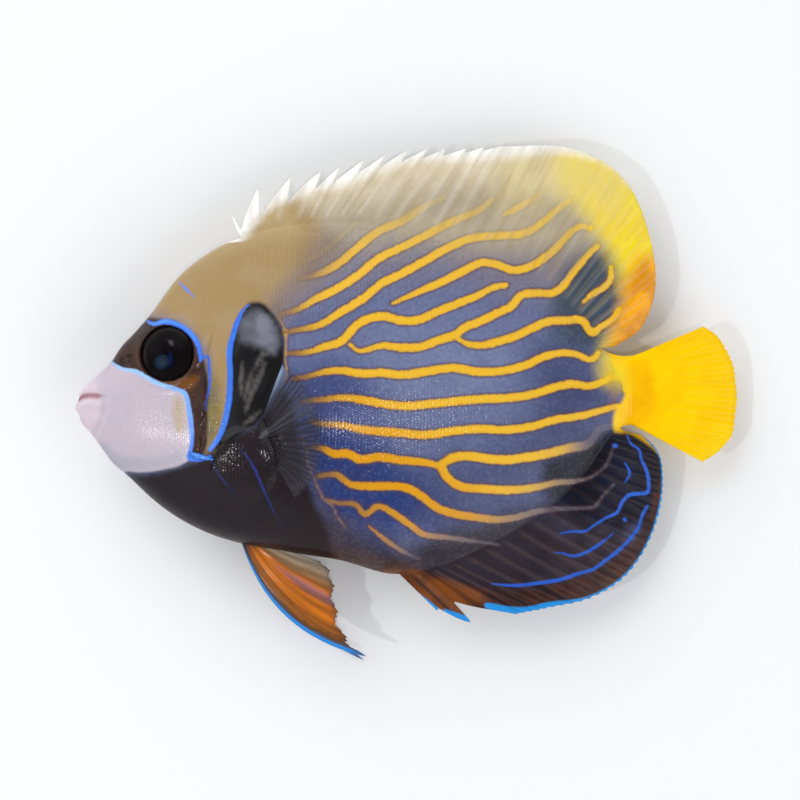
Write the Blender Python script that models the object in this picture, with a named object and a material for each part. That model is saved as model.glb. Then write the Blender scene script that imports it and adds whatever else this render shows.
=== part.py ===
# Emperor angelfish, life size, lying on its right side as a still model.
#
# The fish is drawn in millimetres: x runs from the snout to the tail, y from the belly to
# the back, and z up from the floor to its left flank. The snout tip is at x = 0, y = 0.
# The flesh is one surface given by two profiles and a half thickness. It is cut into
# head, lips, gill covers, trunk and tail base, and the fins stand on its edge.

import math

import bpy
import bmesh
import numpy as np
from mathutils import Vector

MM = 0.001

# Driving sizes, in millimetres
TOTAL_LENGTH = 124.8
GAP = 0.3
MID_PLANE = 9.9
FLESH_END_X = 103.5
TAIL_CUT_X = 95.3
EDGE_HALF = 0.8
EYE_X, EYE_Y = 17.6, 10.1
EYE_RADIUS = 5.1
EYE_SHARE = 0.86
EYE_DEPTH = 2.9
RAY_HEIGHT = 0.2
FIN_EDGE_HALF = 0.25
FIN_ROOT_HALF = 0.65
PRESSED_HALF = 0.3
PRESSED_RIDGE = 0.1

# The tail end of a fish on its side sinks towards the floor
DROOP_START_X = 82.0
DROOP_AT_TIP = 4.5

# Profiles of the flesh, as (x, y) along the back and along the belly
BACK = [
    (0.1, 0.9), (0.5, 2.5), (1.9, 4.3), (3.8, 6.1), (6.4, 8.7), (8.1, 11.3), (10.7, 14.1),
    (13.5, 17.3), (18.8, 24.4), (24.4, 29.0), (34.6, 33.1), (44.0, 34.5), (60.5, 33.8),
    (69.9, 31.6), (79.3, 27.8), (87.8, 22.3), (94.4, 15.6), (98.5, 11.2), (103.5, 9.8),
]
BELLY = [
    (0.1, -0.6), (0.7, -2.4), (2.3, -4.5), (4.1, -6.8), (6.4, -10.0), (9.4, -12.7),
    (15.4, -18.2), (22.9, -22.8), (30.5, -25.4), (39.9, -27.1), (49.3, -28.6),
    (59.6, -31.2), (68.1, -29.6), (75.6, -26.4), (83.1, -22.2), (90.6, -16.6),
    (96.3, -10.2), (100.0, -5.0), (103.5, -3.2),
]
# Half thickness, the level of the widest part, and how lens-like the section is above and
# below it (0.5 is an ellipse, more is a sharper edge), each as (x, value)
HALF_WIDTH = [
    (0.1, 1.0), (0.6, 1.9), (2.0, 2.9), (4.4, 3.9), (8.8, 5.4), (16.7, 7.4), (24.4, 9.1),
    (32.0, 10.2), (41.0, 10.5), (51.0, 10.2), (61.0, 9.5), (70.0, 8.4), (80.0, 6.9),
    (90.0, 5.1), (97.0, 3.7), (103.5, 2.6),
]
MID_LEVEL = [
    (0.1, 0.2), (6.0, -1.0), (16.0, 0.5), (30.0, 0.0), (45.0, 0.5), (60.0, 1.0),
    (80.0, 2.2), (95.0, 3.0), (103.5, 3.3),
]
SHARPNESS_BACK = [
    (0.0, 0.5), (18.0, 0.52), (30.0, 0.62), (40.0, 0.8), (60.0, 0.9), (103.5, 0.85),
]
SHARPNESS_BELLY = [
    (0.0, 0.5), (35.0, 0.52), (55.0, 0.65), (65.0, 0.85), (75.0, 0.9), (103.5, 0.85),
]

# Rear edge of the gill cover, carried on to the nape and the throat, as (y, x)
GILL_LINE = [
    (-31.9, 28.7), (-17.6, 26.4), (-11.7, 25.8), (-7.7, 26.7), (-4.3, 28.1), (-0.3, 28.9),
    (3.3, 29.3), (8.8, 29.4), (13.4, 29.9), (16.9, 30.9), (19.9, 32.4), (26.6, 31.8),
    (37.9, 29.5),
]
# Front edge of the gill cover, from its lower corner up, as (y, x)
COVER_LOW_Y, COVER_HIGH_Y = -8.7, 19.4
COVER_FRONT = [
    (-8.7, 25.1), (-6.3, 23.8), (-1.2, 24.3), (4.2, 24.9), (8.8, 25.1), (13.4, 26.2),
    (16.9, 28.3), (19.4, 31.1),
]
COVER_THICK = 1.3
# Rear edge of the lips, as (y, x), and the line of the mouth, as (x, y)
LIP_LINE = [
    (-14.0, 0.7), (-7.0, 2.3), (-4.2, 4.1), (-1.5, 5.6), (1.5, 6.0), (4.0, 4.9), (6.5, 3.3),
    (14.0, 1.7),
]
MOUTH_LINE = [(-2.8, 0.5), (0.2, 1.4), (1.5, 2.1), (4.3, 2.2), (7.7, 1.4)]

# Fin rays, each as (x of its root on the profile, x of its tip, y of its tip)
DORSAL_RAYS = [
    (30.6, 28.4, 36.8), (33.4, 33.7, 41.4), (37.4, 39.9, 43.6), (41.2, 45.7, 44.6),
    (50.2, 60.2, 48.4), (60.5, 70.8, 49.0), (71.8, 81.9, 49.5), (81.2, 92.9, 49.2),
    (87.8, 102.4, 44.2), (92.5, 107.3, 34.6), (95.9, 109.0, 23.5), (97.6, 106.4, 15.4),
    (98.4, 101.2, 11.6),
]
ANAL_RAYS = [
    (60.5, 67.5, -38.2), (63.2, 73.9, -40.5), (66.4, 82.4, -38.9), (70.4, 88.6, -37.7),
    (77.5, 96.3, -36.1), (84.0, 102.8, -32.4), (89.7, 107.2, -26.6), (94.4, 109.8, -20.0),
    (97.4, 110.5, -13.8), (99.4, 109.6, -8.6), (100.8, 106.6, -5.4), (101.8, 103.4, -4.6),
]
# Where the spines stand along those lists, and how deep the membrane is cut behind each
DORSAL_SPINES = [0.0, 1.0, 2.0, 3.0, 3.28, 3.57, 3.84, 4.14, 4.49, 4.83, 5.2, 5.5, 5.78]
DORSAL_NOTCHES = [0.75, 0.68, 0.54, 0.34, 0.27, 0.22, 0.19, 0.16, 0.12, 0.09, 0.06, 0.04]
ANAL_SPINES = [0.0, 1.0, 2.0]
ANAL_NOTCHES = [0.12, 0.42]
NOTCH_PLACE = 0.2
# Tail rays, each as (y of its root, x of its tip, y of its tip)
TAIL_RAYS = [
    (9.5, 118.2, 15.5), (8.3, 120.4, 14.0), (6.8, 122.8, 10.9), (4.9, 124.3, 7.0),
    (3.1, 124.8, 3.0), (1.3, 124.6, -1.3), (-0.5, 123.7, -5.3), (-1.7, 121.6, -7.8),
    (-2.9, 118.0, -10.3),
]
# Pelvic rays, each as (x of its root, x of its tip, y of its tip, bow of the ray)
PELVIC_RAYS = [
    (30.6, 54.2, -46.8, -4.8), (31.4, 50.6, -43.2, -2.6), (32.2, 48.9, -38.4, -1.4),
    (33.0, 48.2, -33.6, -0.7), (33.8, 47.4, -30.6, -0.2), (34.6, 45.6, -28.9, 0.1),
]
# Pectoral rays, each as (x and y of its root, x and y of its tip), and the mound they grow from
PECTORAL_RAYS = [
    (35.2, -2.3, 39.2, 8.0), (35.7, -3.5, 42.8, 4.9), (36.2, -4.8, 45.3, 0.4),
    (36.5, -6.1, 46.4, -4.4), (36.9, -7.3, 46.1, -9.4), (37.2, -8.6, 44.3, -13.9),
    (37.3, -9.7, 41.5, -16.5),
]
PECTORAL_PRESSED = 0.86
MOUND_X, MOUND_Y = 30.8, -10.7
MOUND_LONG, MOUND_TALL, MOUND_RISE = 7.5, 7.0, 0.7

# Colours, as linear red, green, blue
OLIVE = (0.33, 0.24, 0.10)
MUZZLE = (0.55, 0.50, 0.52)
FLANK = (0.07, 0.09, 0.28)
TAIL_YELLOW = (0.90, 0.55, 0.00)
FIN_DARK = (0.06, 0.03, 0.03)
FIN_PALE = (0.45, 0.40, 0.25)
FIN_RUST = (0.35, 0.13, 0.02)
EYE_BLACK = (0.01, 0.01, 0.012)
BRIGHT_BLUE = (0.03, 0.20, 0.75)


# Curves

def smooth(points, at):
    """Value at `at` of the smooth curve through (position, value) points, by Hermite spans."""
    xs = np.array([p[0] for p in points], float)
    ys = np.array([p[1] for p in points], float)
    slopes = np.gradient(ys, xs)
    at = np.clip(np.asarray(at, float), xs[0], xs[-1])
    i = np.clip(np.searchsorted(xs, at) - 1, 0, len(xs) - 2)
    span = xs[i + 1] - xs[i]
    t = (at - xs[i]) / span
    rise = ys[i + 1] - ys[i]
    first = slopes[i] * span - rise
    last = rise - slopes[i + 1] * span
    return ys[i] + t * rise + t * (1 - t) * ((1 - t) * first + t * last)


def along(rows, at):
    """Row of values at `at`, from 0 to 1, along a list of rows that are spaced evenly."""
    keys = np.linspace(0.0, 1.0, len(rows))
    return [
        float(smooth([(k, row[c]) for k, row in zip(keys, rows)], at))
        for c in range(len(rows[0]))
    ]


def droop(x):
    """How far the fish sinks towards the floor at this distance from the snout."""
    reach = max(0.0, x - DROOP_START_X) / (TOTAL_LENGTH - DROOP_START_X)
    return DROOP_AT_TIP * reach * reach


# Flesh

def orbit_rim(x, y):
    """Low ring of skin round the eye."""
    off = math.hypot(x - EYE_X, y - EYE_Y) - EYE_RADIUS - 0.6
    return 0.6 * math.exp(-((off / 0.9) ** 2))


def cover_share(y):
    """How strongly the free edge of the gill cover shows at this height."""
    middle = (COVER_LOW_Y + COVER_HIGH_Y) / 2
    return max(0.0, 1 - ((y - middle) / 17.5) ** 4)


def lip_roll(x, y):
    """Rolled lips on both sides of the mouth, and the fold behind them."""
    off = x - float(smooth(LIP_LINE, y))
    from_mouth = abs(y - float(smooth(MOUTH_LINE, x)))
    roll = 0.4 * math.exp(-(((from_mouth - 1.6) / 1.1) ** 2)) - 0.5 * math.exp(-((from_mouth / 0.7) ** 2))
    fold = 0.3 * math.exp(-((off / 0.7) ** 2))
    return roll / (1 + math.exp(min(30.0, (off + 0.3) / 0.4))) - fold


def head_relief(x, y):
    """What rises from the smooth form of the head, up to the free edge of the gill cover."""
    off = min(0.0, x - float(smooth(GILL_LINE, y)))
    return orbit_rim(x, y) + lip_roll(x, y) + 0.55 * cover_share(y) * math.exp(off / 2.5)


def trunk_relief(x, y):
    """Hollow behind the gill cover, and the mound at the root of the pectoral fin."""
    off = max(0.0, x - float(smooth(GILL_LINE, y)))
    away = math.hypot((x - MOUND_X) / MOUND_LONG, (y - MOUND_Y) / MOUND_TALL)
    mound = MOUND_RISE * max(0.0, 1 - away ** 4)
    return mound - 0.5 * cover_share(y) * math.exp(-off / 1.6)


def edges(x, upper):
    """Profile height and sharpness of the section at x, above or below its widest level."""
    if upper:
        return float(smooth(BACK, x)), float(smooth(SHARPNESS_BACK, x))
    return float(smooth(BELLY, x)), float(smooth(SHARPNESS_BELLY, x))


def half_thickness(x, y, relief=None):
    """Half thickness of the flesh at a point of the flank."""
    level = float(smooth(MID_LEVEL, x))
    wide = float(smooth(HALF_WIDTH, x))
    edge, power = edges(x, y >= level)
    t = min(1.0, (y - level) / (edge - level))
    rim = min(EDGE_HALF, 0.6 * wide)
    half = rim + (wide - rim) * max(0.0, 1 - t ** 2.2) ** power
    if relief:
        half += (1 - t ** 8) * relief(x, y)
    return half


def ring(x, relief, steps):
    """Points (y, half thickness) of the section at x, from the back down to the belly."""
    level = float(smooth(MID_LEVEL, x))
    points = []
    for k in range(2 * steps + 1):
        s = 1 - k / steps
        edge = edges(x, s >= 0)[0]
        y = level + (edge - level) * math.sin(abs(s) * math.pi / 2)
        points.append((y, half_thickness(x, y, relief)))
    return points


def flesh(name, places, relief, shrink=0.0, steps=11):
    """Closed surface of the flesh through rings at `places`, drawn in by `shrink` on both flanks.

    It is flat where it lies on the floor.
    """
    mesh = bmesh.new()
    rings = []
    for x in places:
        upper, lower = [], []
        for y, half in ring(x, relief, steps):
            half = max(0.15, half - shrink)
            base = MID_PLANE - droop(x)
            upper.append(mesh.verts.new((x, y, base + half)))
            lower.append(mesh.verts.new((x, y, max(shrink, base - half))))
        rings.append(upper + lower[::-1])
    count = len(rings[0])
    for near, far in zip(rings, rings[1:]):
        for k in range(count):
            n = (k + 1) % count
            mesh.faces.new((near[k], near[n], far[n], far[k]))
    mesh.faces.new(rings[0][::-1])
    mesh.faces.new(rings[-1])
    return finish(mesh, name)


def on_flank(x, y, side, lift=0.0):
    """Point of the flank and its outward direction; side is 1 for the left and -1 for the right."""
    step = 0.5
    along_x = (half_thickness(x + step, y) - half_thickness(x - step, y)) / (2 * step)
    along_y = (half_thickness(x, y + step) - half_thickness(x, y - step)) / (2 * step)
    out = Vector((-along_x, -along_y, side)).normalized()
    point = Vector((x, y, MID_PLANE - droop(x) + side * half_thickness(x, y)))
    return point + out * lift, out


# Mesh helpers

def finish(mesh, name, scale=MM):
    """Turns a bmesh drawn in millimetres into an object in metres, with its faces pointing out."""
    bmesh.ops.triangulate(mesh, faces=mesh.faces[:])
    bmesh.ops.recalc_face_normals(mesh, faces=mesh.faces[:])
    bmesh.ops.scale(mesh, vec=(scale, scale, scale), verts=mesh.verts[:])
    data = bpy.data.meshes.new(name)
    mesh.to_mesh(data)
    mesh.free()
    made = bpy.data.objects.new(name, data)
    bpy.context.scene.collection.objects.link(made)
    return made


def prism(outline, low, high):
    """Upright block over an outline of (x, y) points, from z = low to z = high."""
    mesh = bmesh.new()
    bottom = [mesh.verts.new((x, y, low)) for x, y in outline]
    top = [mesh.verts.new((x, y, high)) for x, y in outline]
    for k in range(len(outline)):
        n = (k + 1) % len(outline)
        mesh.faces.new((bottom[k], bottom[n], top[n], top[k]))
    mesh.faces.new(bottom[::-1])
    mesh.faces.new(top)
    return finish(mesh, "cutter")


def ball(centre, axis, wide, deep, segments=20):
    """Round body of radius `wide` across its axis and half depth `deep` along it."""
    turn = Vector((0, 0, 1)).rotation_difference(axis)
    mesh = bmesh.new()
    bmesh.ops.create_uvsphere(mesh, u_segments=segments, v_segments=segments // 2, radius=1.0)
    for vertex in mesh.verts:
        local = Vector((wide * vertex.co.x, wide * vertex.co.y, deep * vertex.co.z))
        vertex.co = centre + turn @ local
    return finish(mesh, "cutter")


def spike(start, end, thick, sides=8):
    """Closed cone from a round root to a narrow, blunt tip, bulging a little on the way."""
    mesh = bmesh.new()
    turn = Vector((0, 0, 1)).rotation_difference(end - start)
    rings = []
    for share in (0.0, 0.35, 0.7, 1.0):
        radius = thick * (1.0 - 0.82 * share ** 1.6)
        middle = start.lerp(end, share)
        circle = []
        for k in range(sides):
            angle = 2 * math.pi * k / sides
            spoke = Vector((radius * math.cos(angle), radius * math.sin(angle), 0.0))
            circle.append(mesh.verts.new(middle + turn @ spoke))
        rings.append(circle)
    for near, far in zip(rings, rings[1:]):
        for k in range(sides):
            n = (k + 1) % sides
            mesh.faces.new((near[k], near[n], far[n], far[k]))
    mesh.faces.new(rings[0])
    mesh.faces.new(rings[-1])
    return finish(mesh, "cutter")


def copy_of(source, name):
    made = bpy.data.objects.new(name, source.data.copy())
    bpy.context.scene.collection.objects.link(made)
    return made


def drop(*objects):
    for old in objects:
        bpy.data.objects.remove(old)


def combine(target, other, operation):
    """Applies one Boolean to target and removes the other object."""
    step = target.modifiers.new("step", "BOOLEAN")
    step.operation = operation
    step.solver = "EXACT"
    step.object = other
    graph = bpy.context.evaluated_depsgraph_get()
    result = bpy.data.meshes.new_from_object(target.evaluated_get(graph))
    target.modifiers.clear()
    old = target.data
    target.data = result
    bpy.data.meshes.remove(old)
    drop(other)
    return target


def keep_largest(target):
    """Keeps the closed surface of target with the most faces and drops loose scraps."""
    mesh = bmesh.new()
    mesh.from_mesh(target.data)
    bmesh.ops.remove_doubles(mesh, verts=mesh.verts[:], dist=0.002 * MM)
    left = set(mesh.faces)
    groups = []
    while left:
        group, edge = set(), [left.pop()]
        while edge:
            face = edge.pop()
            group.add(face)
            for side in face.edges:
                for other in side.link_faces:
                    if other in left:
                        left.discard(other)
                        edge.append(other)
        groups.append(group)
    groups.sort(key=len)
    spare = [face for group in groups[:-1] for face in group]
    bmesh.ops.delete(mesh, geom=spare, context="FACES")
    mesh.to_mesh(target.data)
    mesh.free()
    return target


def paint(target, colour, roughness=0.35):
    """Gives target a material of its own and smooth shading."""
    coat = bpy.data.materials.new(target.name)
    coat.use_nodes = True
    shader = coat.node_tree.nodes["Principled BSDF"]
    shader.inputs["Base Color"].default_value = (*colour, 1.0)
    shader.inputs["Roughness"].default_value = roughness
    target.data.materials.clear()
    target.data.materials.append(coat)
    target.data.shade_smooth()
    target.data.set_sharp_from_angle(angle=math.radians(40))
    return target


# Where the flesh is parted

REACH = 60.0


def border(line, low, high, shift, steps=28):
    """Points (x, y) of a (y, x) curve between two heights, moved along x by `shift`."""
    return [(float(smooth(line, y)) + shift, float(y)) for y in np.linspace(low, high, steps)]


def cover_outline(grow):
    """Outline of the gill cover, grown by `grow`, with its free edge on the gill line."""
    low, high = COVER_LOW_Y - grow, COVER_HIGH_Y + grow
    rear = border(GILL_LINE, low, high, -GAP / 2 + grow * 4, steps=16)
    front = border(COVER_FRONT, low, high, -grow, steps=12)
    return rear + front[::-1]


def cut_head(front_flesh):
    """Head between the lips and the gill line."""
    head = copy_of(front_flesh, "head")
    front = border(LIP_LINE, -REACH, REACH, GAP / 2)
    rear = border(GILL_LINE, -REACH, REACH, -GAP / 2)
    return combine(head, prism(front + rear[::-1], -REACH, REACH), "INTERSECT")


def cut_lip(front_flesh, name, side):
    """Upper lip (side 1) or lower lip (side -1), parted along the mouth."""
    lip = copy_of(front_flesh, name)
    mouth = [
        (float(x), float(smooth(MOUTH_LINE, x)) + side * GAP / 2) for x in np.linspace(-3.0, 7.0, 12)
    ]
    far = side * REACH
    combine(lip, prism(mouth + [(7.0, far), (-3.0, far)], -REACH, REACH), "INTERSECT")
    rear = border(LIP_LINE, -REACH, REACH, -GAP / 2)
    return combine(lip, prism(rear + [(-REACH, REACH), (-REACH, -REACH)], -REACH, REACH), "INTERSECT")


def cut_trunk(rear_flesh):
    """Trunk from the gill line to the tail base."""
    trunk = copy_of(rear_flesh, "trunk")
    front = border(GILL_LINE, -REACH, REACH, GAP / 2)
    rear_x = TAIL_CUT_X - GAP / 2
    outline = front + [(rear_x, REACH), (rear_x, -REACH)]
    return combine(trunk, prism(outline, -REACH, REACH), "INTERSECT")


def cut_tail_base(rear_flesh):
    """Tail base from the end of the trunk to the root of the tail fin."""
    base = copy_of(rear_flesh, "tail_base")
    front_x = TAIL_CUT_X + GAP / 2
    outline = [(front_x, -REACH), (REACH * 2, -REACH), (REACH * 2, REACH), (front_x, REACH)]
    return combine(base, prism(outline, -REACH, REACH), "INTERSECT")


def cut_gill_cover(front_flesh, core, name, side):
    """Gill cover of one flank: a curved plate, `side` 1 for the left and -1 for the right."""
    cover = copy_of(front_flesh, name)
    low, high = sorted((MID_PLANE, MID_PLANE + side * REACH))
    combine(cover, prism(cover_outline(0.0), low, high), "INTERSECT")
    return combine(cover, copy_of(core, "cutter"), "DIFFERENCE")


def pocket(core, side):
    """Cutter for the bed of a gill cover in the head, with room round it."""
    low, high = sorted((MID_PLANE, MID_PLANE + side * REACH))
    bed = prism(cover_outline(GAP), low, high)
    return combine(bed, copy_of(core, "cutter"), "DIFFERENCE")


# Pieces of the head

def eyeball(side, spare=0.0):
    """Eyeball of one side, set square to the flank, and grown by `spare` to cut its socket.

    Its widest ring lies under the skin, so that a circle of the eye's radius shows.
    """
    sink = EYE_DEPTH * math.sqrt(1 - EYE_SHARE ** 2) + 0.2
    centre, out = on_flank(EYE_X, EYE_Y, side, -sink)
    return ball(centre, out, EYE_RADIUS / EYE_SHARE + spare, EYE_DEPTH + spare)


def cheek_spine(side, spare=0.0):
    """Strong spine at the lower corner of the cheek, pointing to the tail."""
    start = on_flank(22.3 - spare, -8.6, side, -0.3)[0]
    end = on_flank(26.7 + spare, -9.3, side, 0.8)[0]
    return spike(start, end, 0.75 + spare)


def nostril(x, y, side):
    """Pit in front of the eye."""
    centre, out = on_flank(x, y, side, 0.15)
    return ball(centre, out, 0.5, 0.7, 8)


# Fins

def lift_flat(x, y, u, v):
    """Height of a fin that stands on the edge of the fish: level with it, sinking a little."""
    return MID_PLANE - droop(x) - 1.6 * v * v + 0.35 * math.sin(9.0 * u) * v


def web(name, columns, rows, lift, root_half, ridge, edge_half=FIN_EDGE_HALF):
    """Closed fin from a list of columns, root to tip, each (points, height of its ray).

    Both faces have the same triangles, so they keep their distance where the fin curves.
    """
    mesh = bmesh.new()
    faces = {1: [], -1: []}
    for c, (points, crest) in enumerate(columns):
        u = c / (len(columns) - 1)
        for side in (1, -1):
            line = []
            for r, (x, y) in enumerate(points):
                v = r / rows
                half = root_half + (edge_half - root_half) * min(1.0, 1.6 * v)
                half += ridge * crest * math.sin(math.pi * min(1.0, 0.12 + v)) ** 0.5 if v < 0.88 else 0.0
                line.append(mesh.verts.new((x, y, lift(x, y, u, v) + side * half)))
            faces[side].append(line)
    for side in (1, -1):
        grid = faces[side]
        for c in range(len(grid) - 1):
            for r in range(rows):
                a, b = grid[c][r], grid[c][r + 1]
                d, e = grid[c + 1][r], grid[c + 1][r + 1]
                mesh.faces.new((a, b, e))
                mesh.faces.new((a, e, d))
    top, low = faces[1], faces[-1]
    last = len(top) - 1
    for c in range(last):
        for r in (0, rows):
            mesh.faces.new((top[c][r], top[c + 1][r], low[c + 1][r], low[c][r]))
    for r in range(rows):
        for c in (0, last):
            mesh.faces.new((top[c][r], top[c][r + 1], low[c][r + 1], low[c][r]))
    return finish(mesh, name)


def bowed(root, tip, reach, rows, bow=0.0, aside=0.0):
    """Points of a ray from root to tip, as far as the share `reach`.

    `bow` bends it sideways, most in its middle, and `aside` moves all of it sideways.
    """
    (x0, y0), (x1, y1) = root, tip
    length = math.hypot(x1 - x0, y1 - y0)
    across = ((y0 - y1) / length, (x1 - x0) / length)
    points = []
    for r in range(rows + 1):
        v = reach * r / rows
        side = bow * 4 * v * (1 - v) + aside
        points.append((x0 + (x1 - x0) * v + across[0] * side, y0 + (y1 - y0) * v + across[1] * side))
    return points


def edge_root(profile, x, side):
    """Point just clear of the flesh's edge at x, above the back (1) or below the belly (-1)."""
    step = 0.4
    y = float(smooth(profile, x))
    slope = float(smooth(profile, x + step) - smooth(profile, x - step)) / (2 * step)
    length = math.hypot(1.0, slope)
    return x - side * GAP * slope / length, y + side * GAP / length


def median_fin(name, rays, profile, side, places, notches=(), rows=5):
    """Part of the dorsal or anal fin, with a ray at each of `places` along the list of rays.

    `notches` gives how deep the membrane is cut close behind each spine; between soft rays
    it isn't cut. Half the gap between two parts is left at an end that isn't the fin's own.
    """
    columns = []
    for k, place in enumerate(places):
        aside = 0.0
        if k == 0 and place > 0:
            aside = -side * GAP / 2
        if k == len(places) - 1 and place < len(rays) - 1:
            aside = side * GAP / 2
        columns.append(median_ray(rays, profile, side, place, 1.0, rows, aside))
        if k == len(places) - 1:
            break
        between, reach = 0.5, 0.995
        if notches:
            between, reach = NOTCH_PLACE, 1 - notches[k]
        between = place + between * (places[k + 1] - place)
        columns.append(median_ray(rays, profile, side, between, reach, rows))
    return web(name, columns, rows, lift_flat, FIN_ROOT_HALF, RAY_HEIGHT)


def median_ray(rays, profile, side, place, reach, rows, aside=0.0):
    """Points of one column of the dorsal or anal fin and the height of its ray."""
    root_x, tip_x, tip_y = along(rays, place / (len(rays) - 1))
    root = edge_root(profile, root_x, side)
    crest = 1.0 if reach == 1.0 else 0.0
    return bowed(root, (tip_x, tip_y), reach, rows, aside=aside), crest


def tail_fin(rows=6, count=15):
    """Tail fin, a fan of rays on the end of the tail base."""
    columns = []
    total = 2 * count - 1
    for c in range(total):
        root_y, tip_x, tip_y = along(TAIL_RAYS, c / (total - 1))
        root = (FLESH_END_X + GAP, root_y)
        columns.append((bowed(root, (tip_x, tip_y), 1.0, rows), 1.0 if c % 2 == 0 else 0.0))

    def lift(x, y, u, v):
        return MID_PLANE - droop(x) + 0.5 * math.sin(7.0 * u + 1.0) * v * v

    return web("tail_fin", columns, rows, lift, 1.3, RAY_HEIGHT)


def pelvic_fin(name, side, rows=8, count=6):
    """Pelvic fin below the chest. The right one (side -1) trails lower and lies on the floor."""
    columns = []
    total = 2 * count - 1
    for c in range(total):
        share = c / (total - 1)
        root_x, tip_x, tip_y, bow = along(PELVIC_RAYS, share)
        if side < 0:
            tip_x, tip_y, bow = tip_x - 0.6, tip_y - 1.9, bow * 0.75
        root = edge_root(BELLY, root_x, -1)
        is_ray = c % 2 == 0
        points = bowed(root, (tip_x, tip_y), 1.0 if is_ray else 0.97, rows, bow=bow)
        columns.append((points, 1.0 if is_ray else 0.0))
    root_z = MID_PLANE + side * (FIN_ROOT_HALF + GAP / 2)

    def lift(x, y, u, v):
        if side > 0:
            return root_z + 0.9 * v - 2.6 * v * v + 0.3 * math.sin(8 * u) * v
        rest_z = 2 * FIN_EDGE_HALF
        fall = min(1.0, v / 0.9)
        fall = fall * fall * (3 - 2 * fall)
        return root_z + (rest_z - root_z) * fall

    return web(name, columns, rows, lift, FIN_ROOT_HALF - 0.05, RAY_HEIGHT * 0.6)


def pectoral_columns(rows, count, reach=1.0):
    """Rays of the pectoral fan as a list of columns, each as far as the share `reach`."""
    columns = []
    total = 2 * count - 1
    for c in range(total):
        root_x, root_y, tip_x, tip_y = along(PECTORAL_RAYS, c / (total - 1))
        points = bowed((root_x, root_y), (tip_x, tip_y), reach, rows)
        columns.append((points, 1.0 if c % 2 == 0 else 0.0))
    return columns


def pectoral_fin_left(rows=5, count=12):
    """Left pectoral fin, spread over the flank and standing a little off it."""
    half = 0.4

    def lift(x, y, u, v):
        flank = half_thickness(x, y, trunk_relief)
        return MID_PLANE + flank + GAP + half + RAY_HEIGHT / 2 + 1.6 * v * v

    return web("pectoral_fin_left", pectoral_columns(rows, count), rows, lift, half, RAY_HEIGHT * 0.5)


def pectoral_fin_right(rows=4, count=12):
    """Right pectoral fin, pressed flat between the flank and the floor."""
    columns = pectoral_columns(rows, count, PECTORAL_PRESSED)

    def lift(x, y, u, v):
        return PRESSED_HALF + PRESSED_RIDGE

    return web("pectoral_fin_right", columns, rows, lift, PRESSED_HALF, PRESSED_RIDGE, PRESSED_HALF)


def pectoral_bed():
    """Shallow hollow in the right flank that takes the pressed pectoral fin."""
    columns = pectoral_columns(1, 8, PECTORAL_PRESSED)
    first, last = columns[0][0], columns[-1][0]
    middle = [sum(points[1][k] for points, _ in columns) / len(columns) for k in (0, 1)]
    outline = [first[0]] + [points[1] for points, _ in columns] + [last[0]]
    grown = []
    for x, y in outline:
        way = Vector((x - middle[0] + 3.0, y - middle[1]))
        way.normalize()
        grown.append((x + way.x * 2 * GAP, y + way.y * 2 * GAP))
    return prism(grown, -1.0, 2 * (PRESSED_HALF + PRESSED_RIDGE) + GAP)


# Assembly

def build_flesh():
    """Head, lips, gill covers, trunk and tail base, with the beds of what is set in them."""
    nose = [0.1, 0.4, 0.9, 1.6, 2.4, 3.3]
    front = flesh("front", nose + list(np.linspace(4.4, 38.0, 24)), head_relief, steps=12)
    rear_places = list(np.linspace(20.0, 36.0, 10)) + list(np.linspace(38.8, FLESH_END_X, 21))
    rear = flesh("rear", rear_places, trunk_relief)
    inner_places = list(np.linspace(16.0, 38.0, 10))
    core = flesh("core", inner_places, head_relief, COVER_THICK, 8)
    deep_core = flesh("deep_core", inner_places, head_relief, COVER_THICK + GAP, 8)
    head = cut_head(front)
    trunk = combine(cut_trunk(rear), pectoral_bed(), "DIFFERENCE")
    covers = []
    for word, side in (("left", 1), ("right", -1)):
        combine(head, pocket(deep_core, side), "DIFFERENCE")
        combine(head, eyeball(side, GAP), "DIFFERENCE")
        combine(head, cheek_spine(side, GAP), "DIFFERENCE")
        combine(head, nostril(8.9, 8.9, side), "DIFFERENCE")
        combine(head, nostril(10.4, 9.6, side), "DIFFERENCE")
        combine(trunk, cheek_spine(side, GAP), "DIFFERENCE")
        cover = cut_gill_cover(front, core, "gill_cover_" + word, side)
        covers.append(combine(cover, cheek_spine(side, GAP), "DIFFERENCE"))
    upper = cut_lip(front, "upper_lip", 1)
    lower = cut_lip(front, "lower_lip", -1)
    tail_base = cut_tail_base(rear)
    drop(front, rear, core, deep_core)
    for piece in (head, trunk, upper, lower, tail_base, *covers):
        keep_largest(piece)
    paint(head, OLIVE)
    paint(upper, MUZZLE)
    paint(lower, MUZZLE)
    paint(trunk, FLANK)
    paint(tail_base, FLANK)
    for cover in covers:
        paint(cover, OLIVE)


def build_head_pieces():
    """Eyes and cheek spines."""
    for word, side in (("left", 1), ("right", -1)):
        eye = eyeball(side)
        eye.name = "eye_" + word
        paint(eye, EYE_BLACK, 0.05)
        spine = cheek_spine(side)
        spine.name = "cheek_spine_" + word
        paint(spine, BRIGHT_BLUE)


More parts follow.
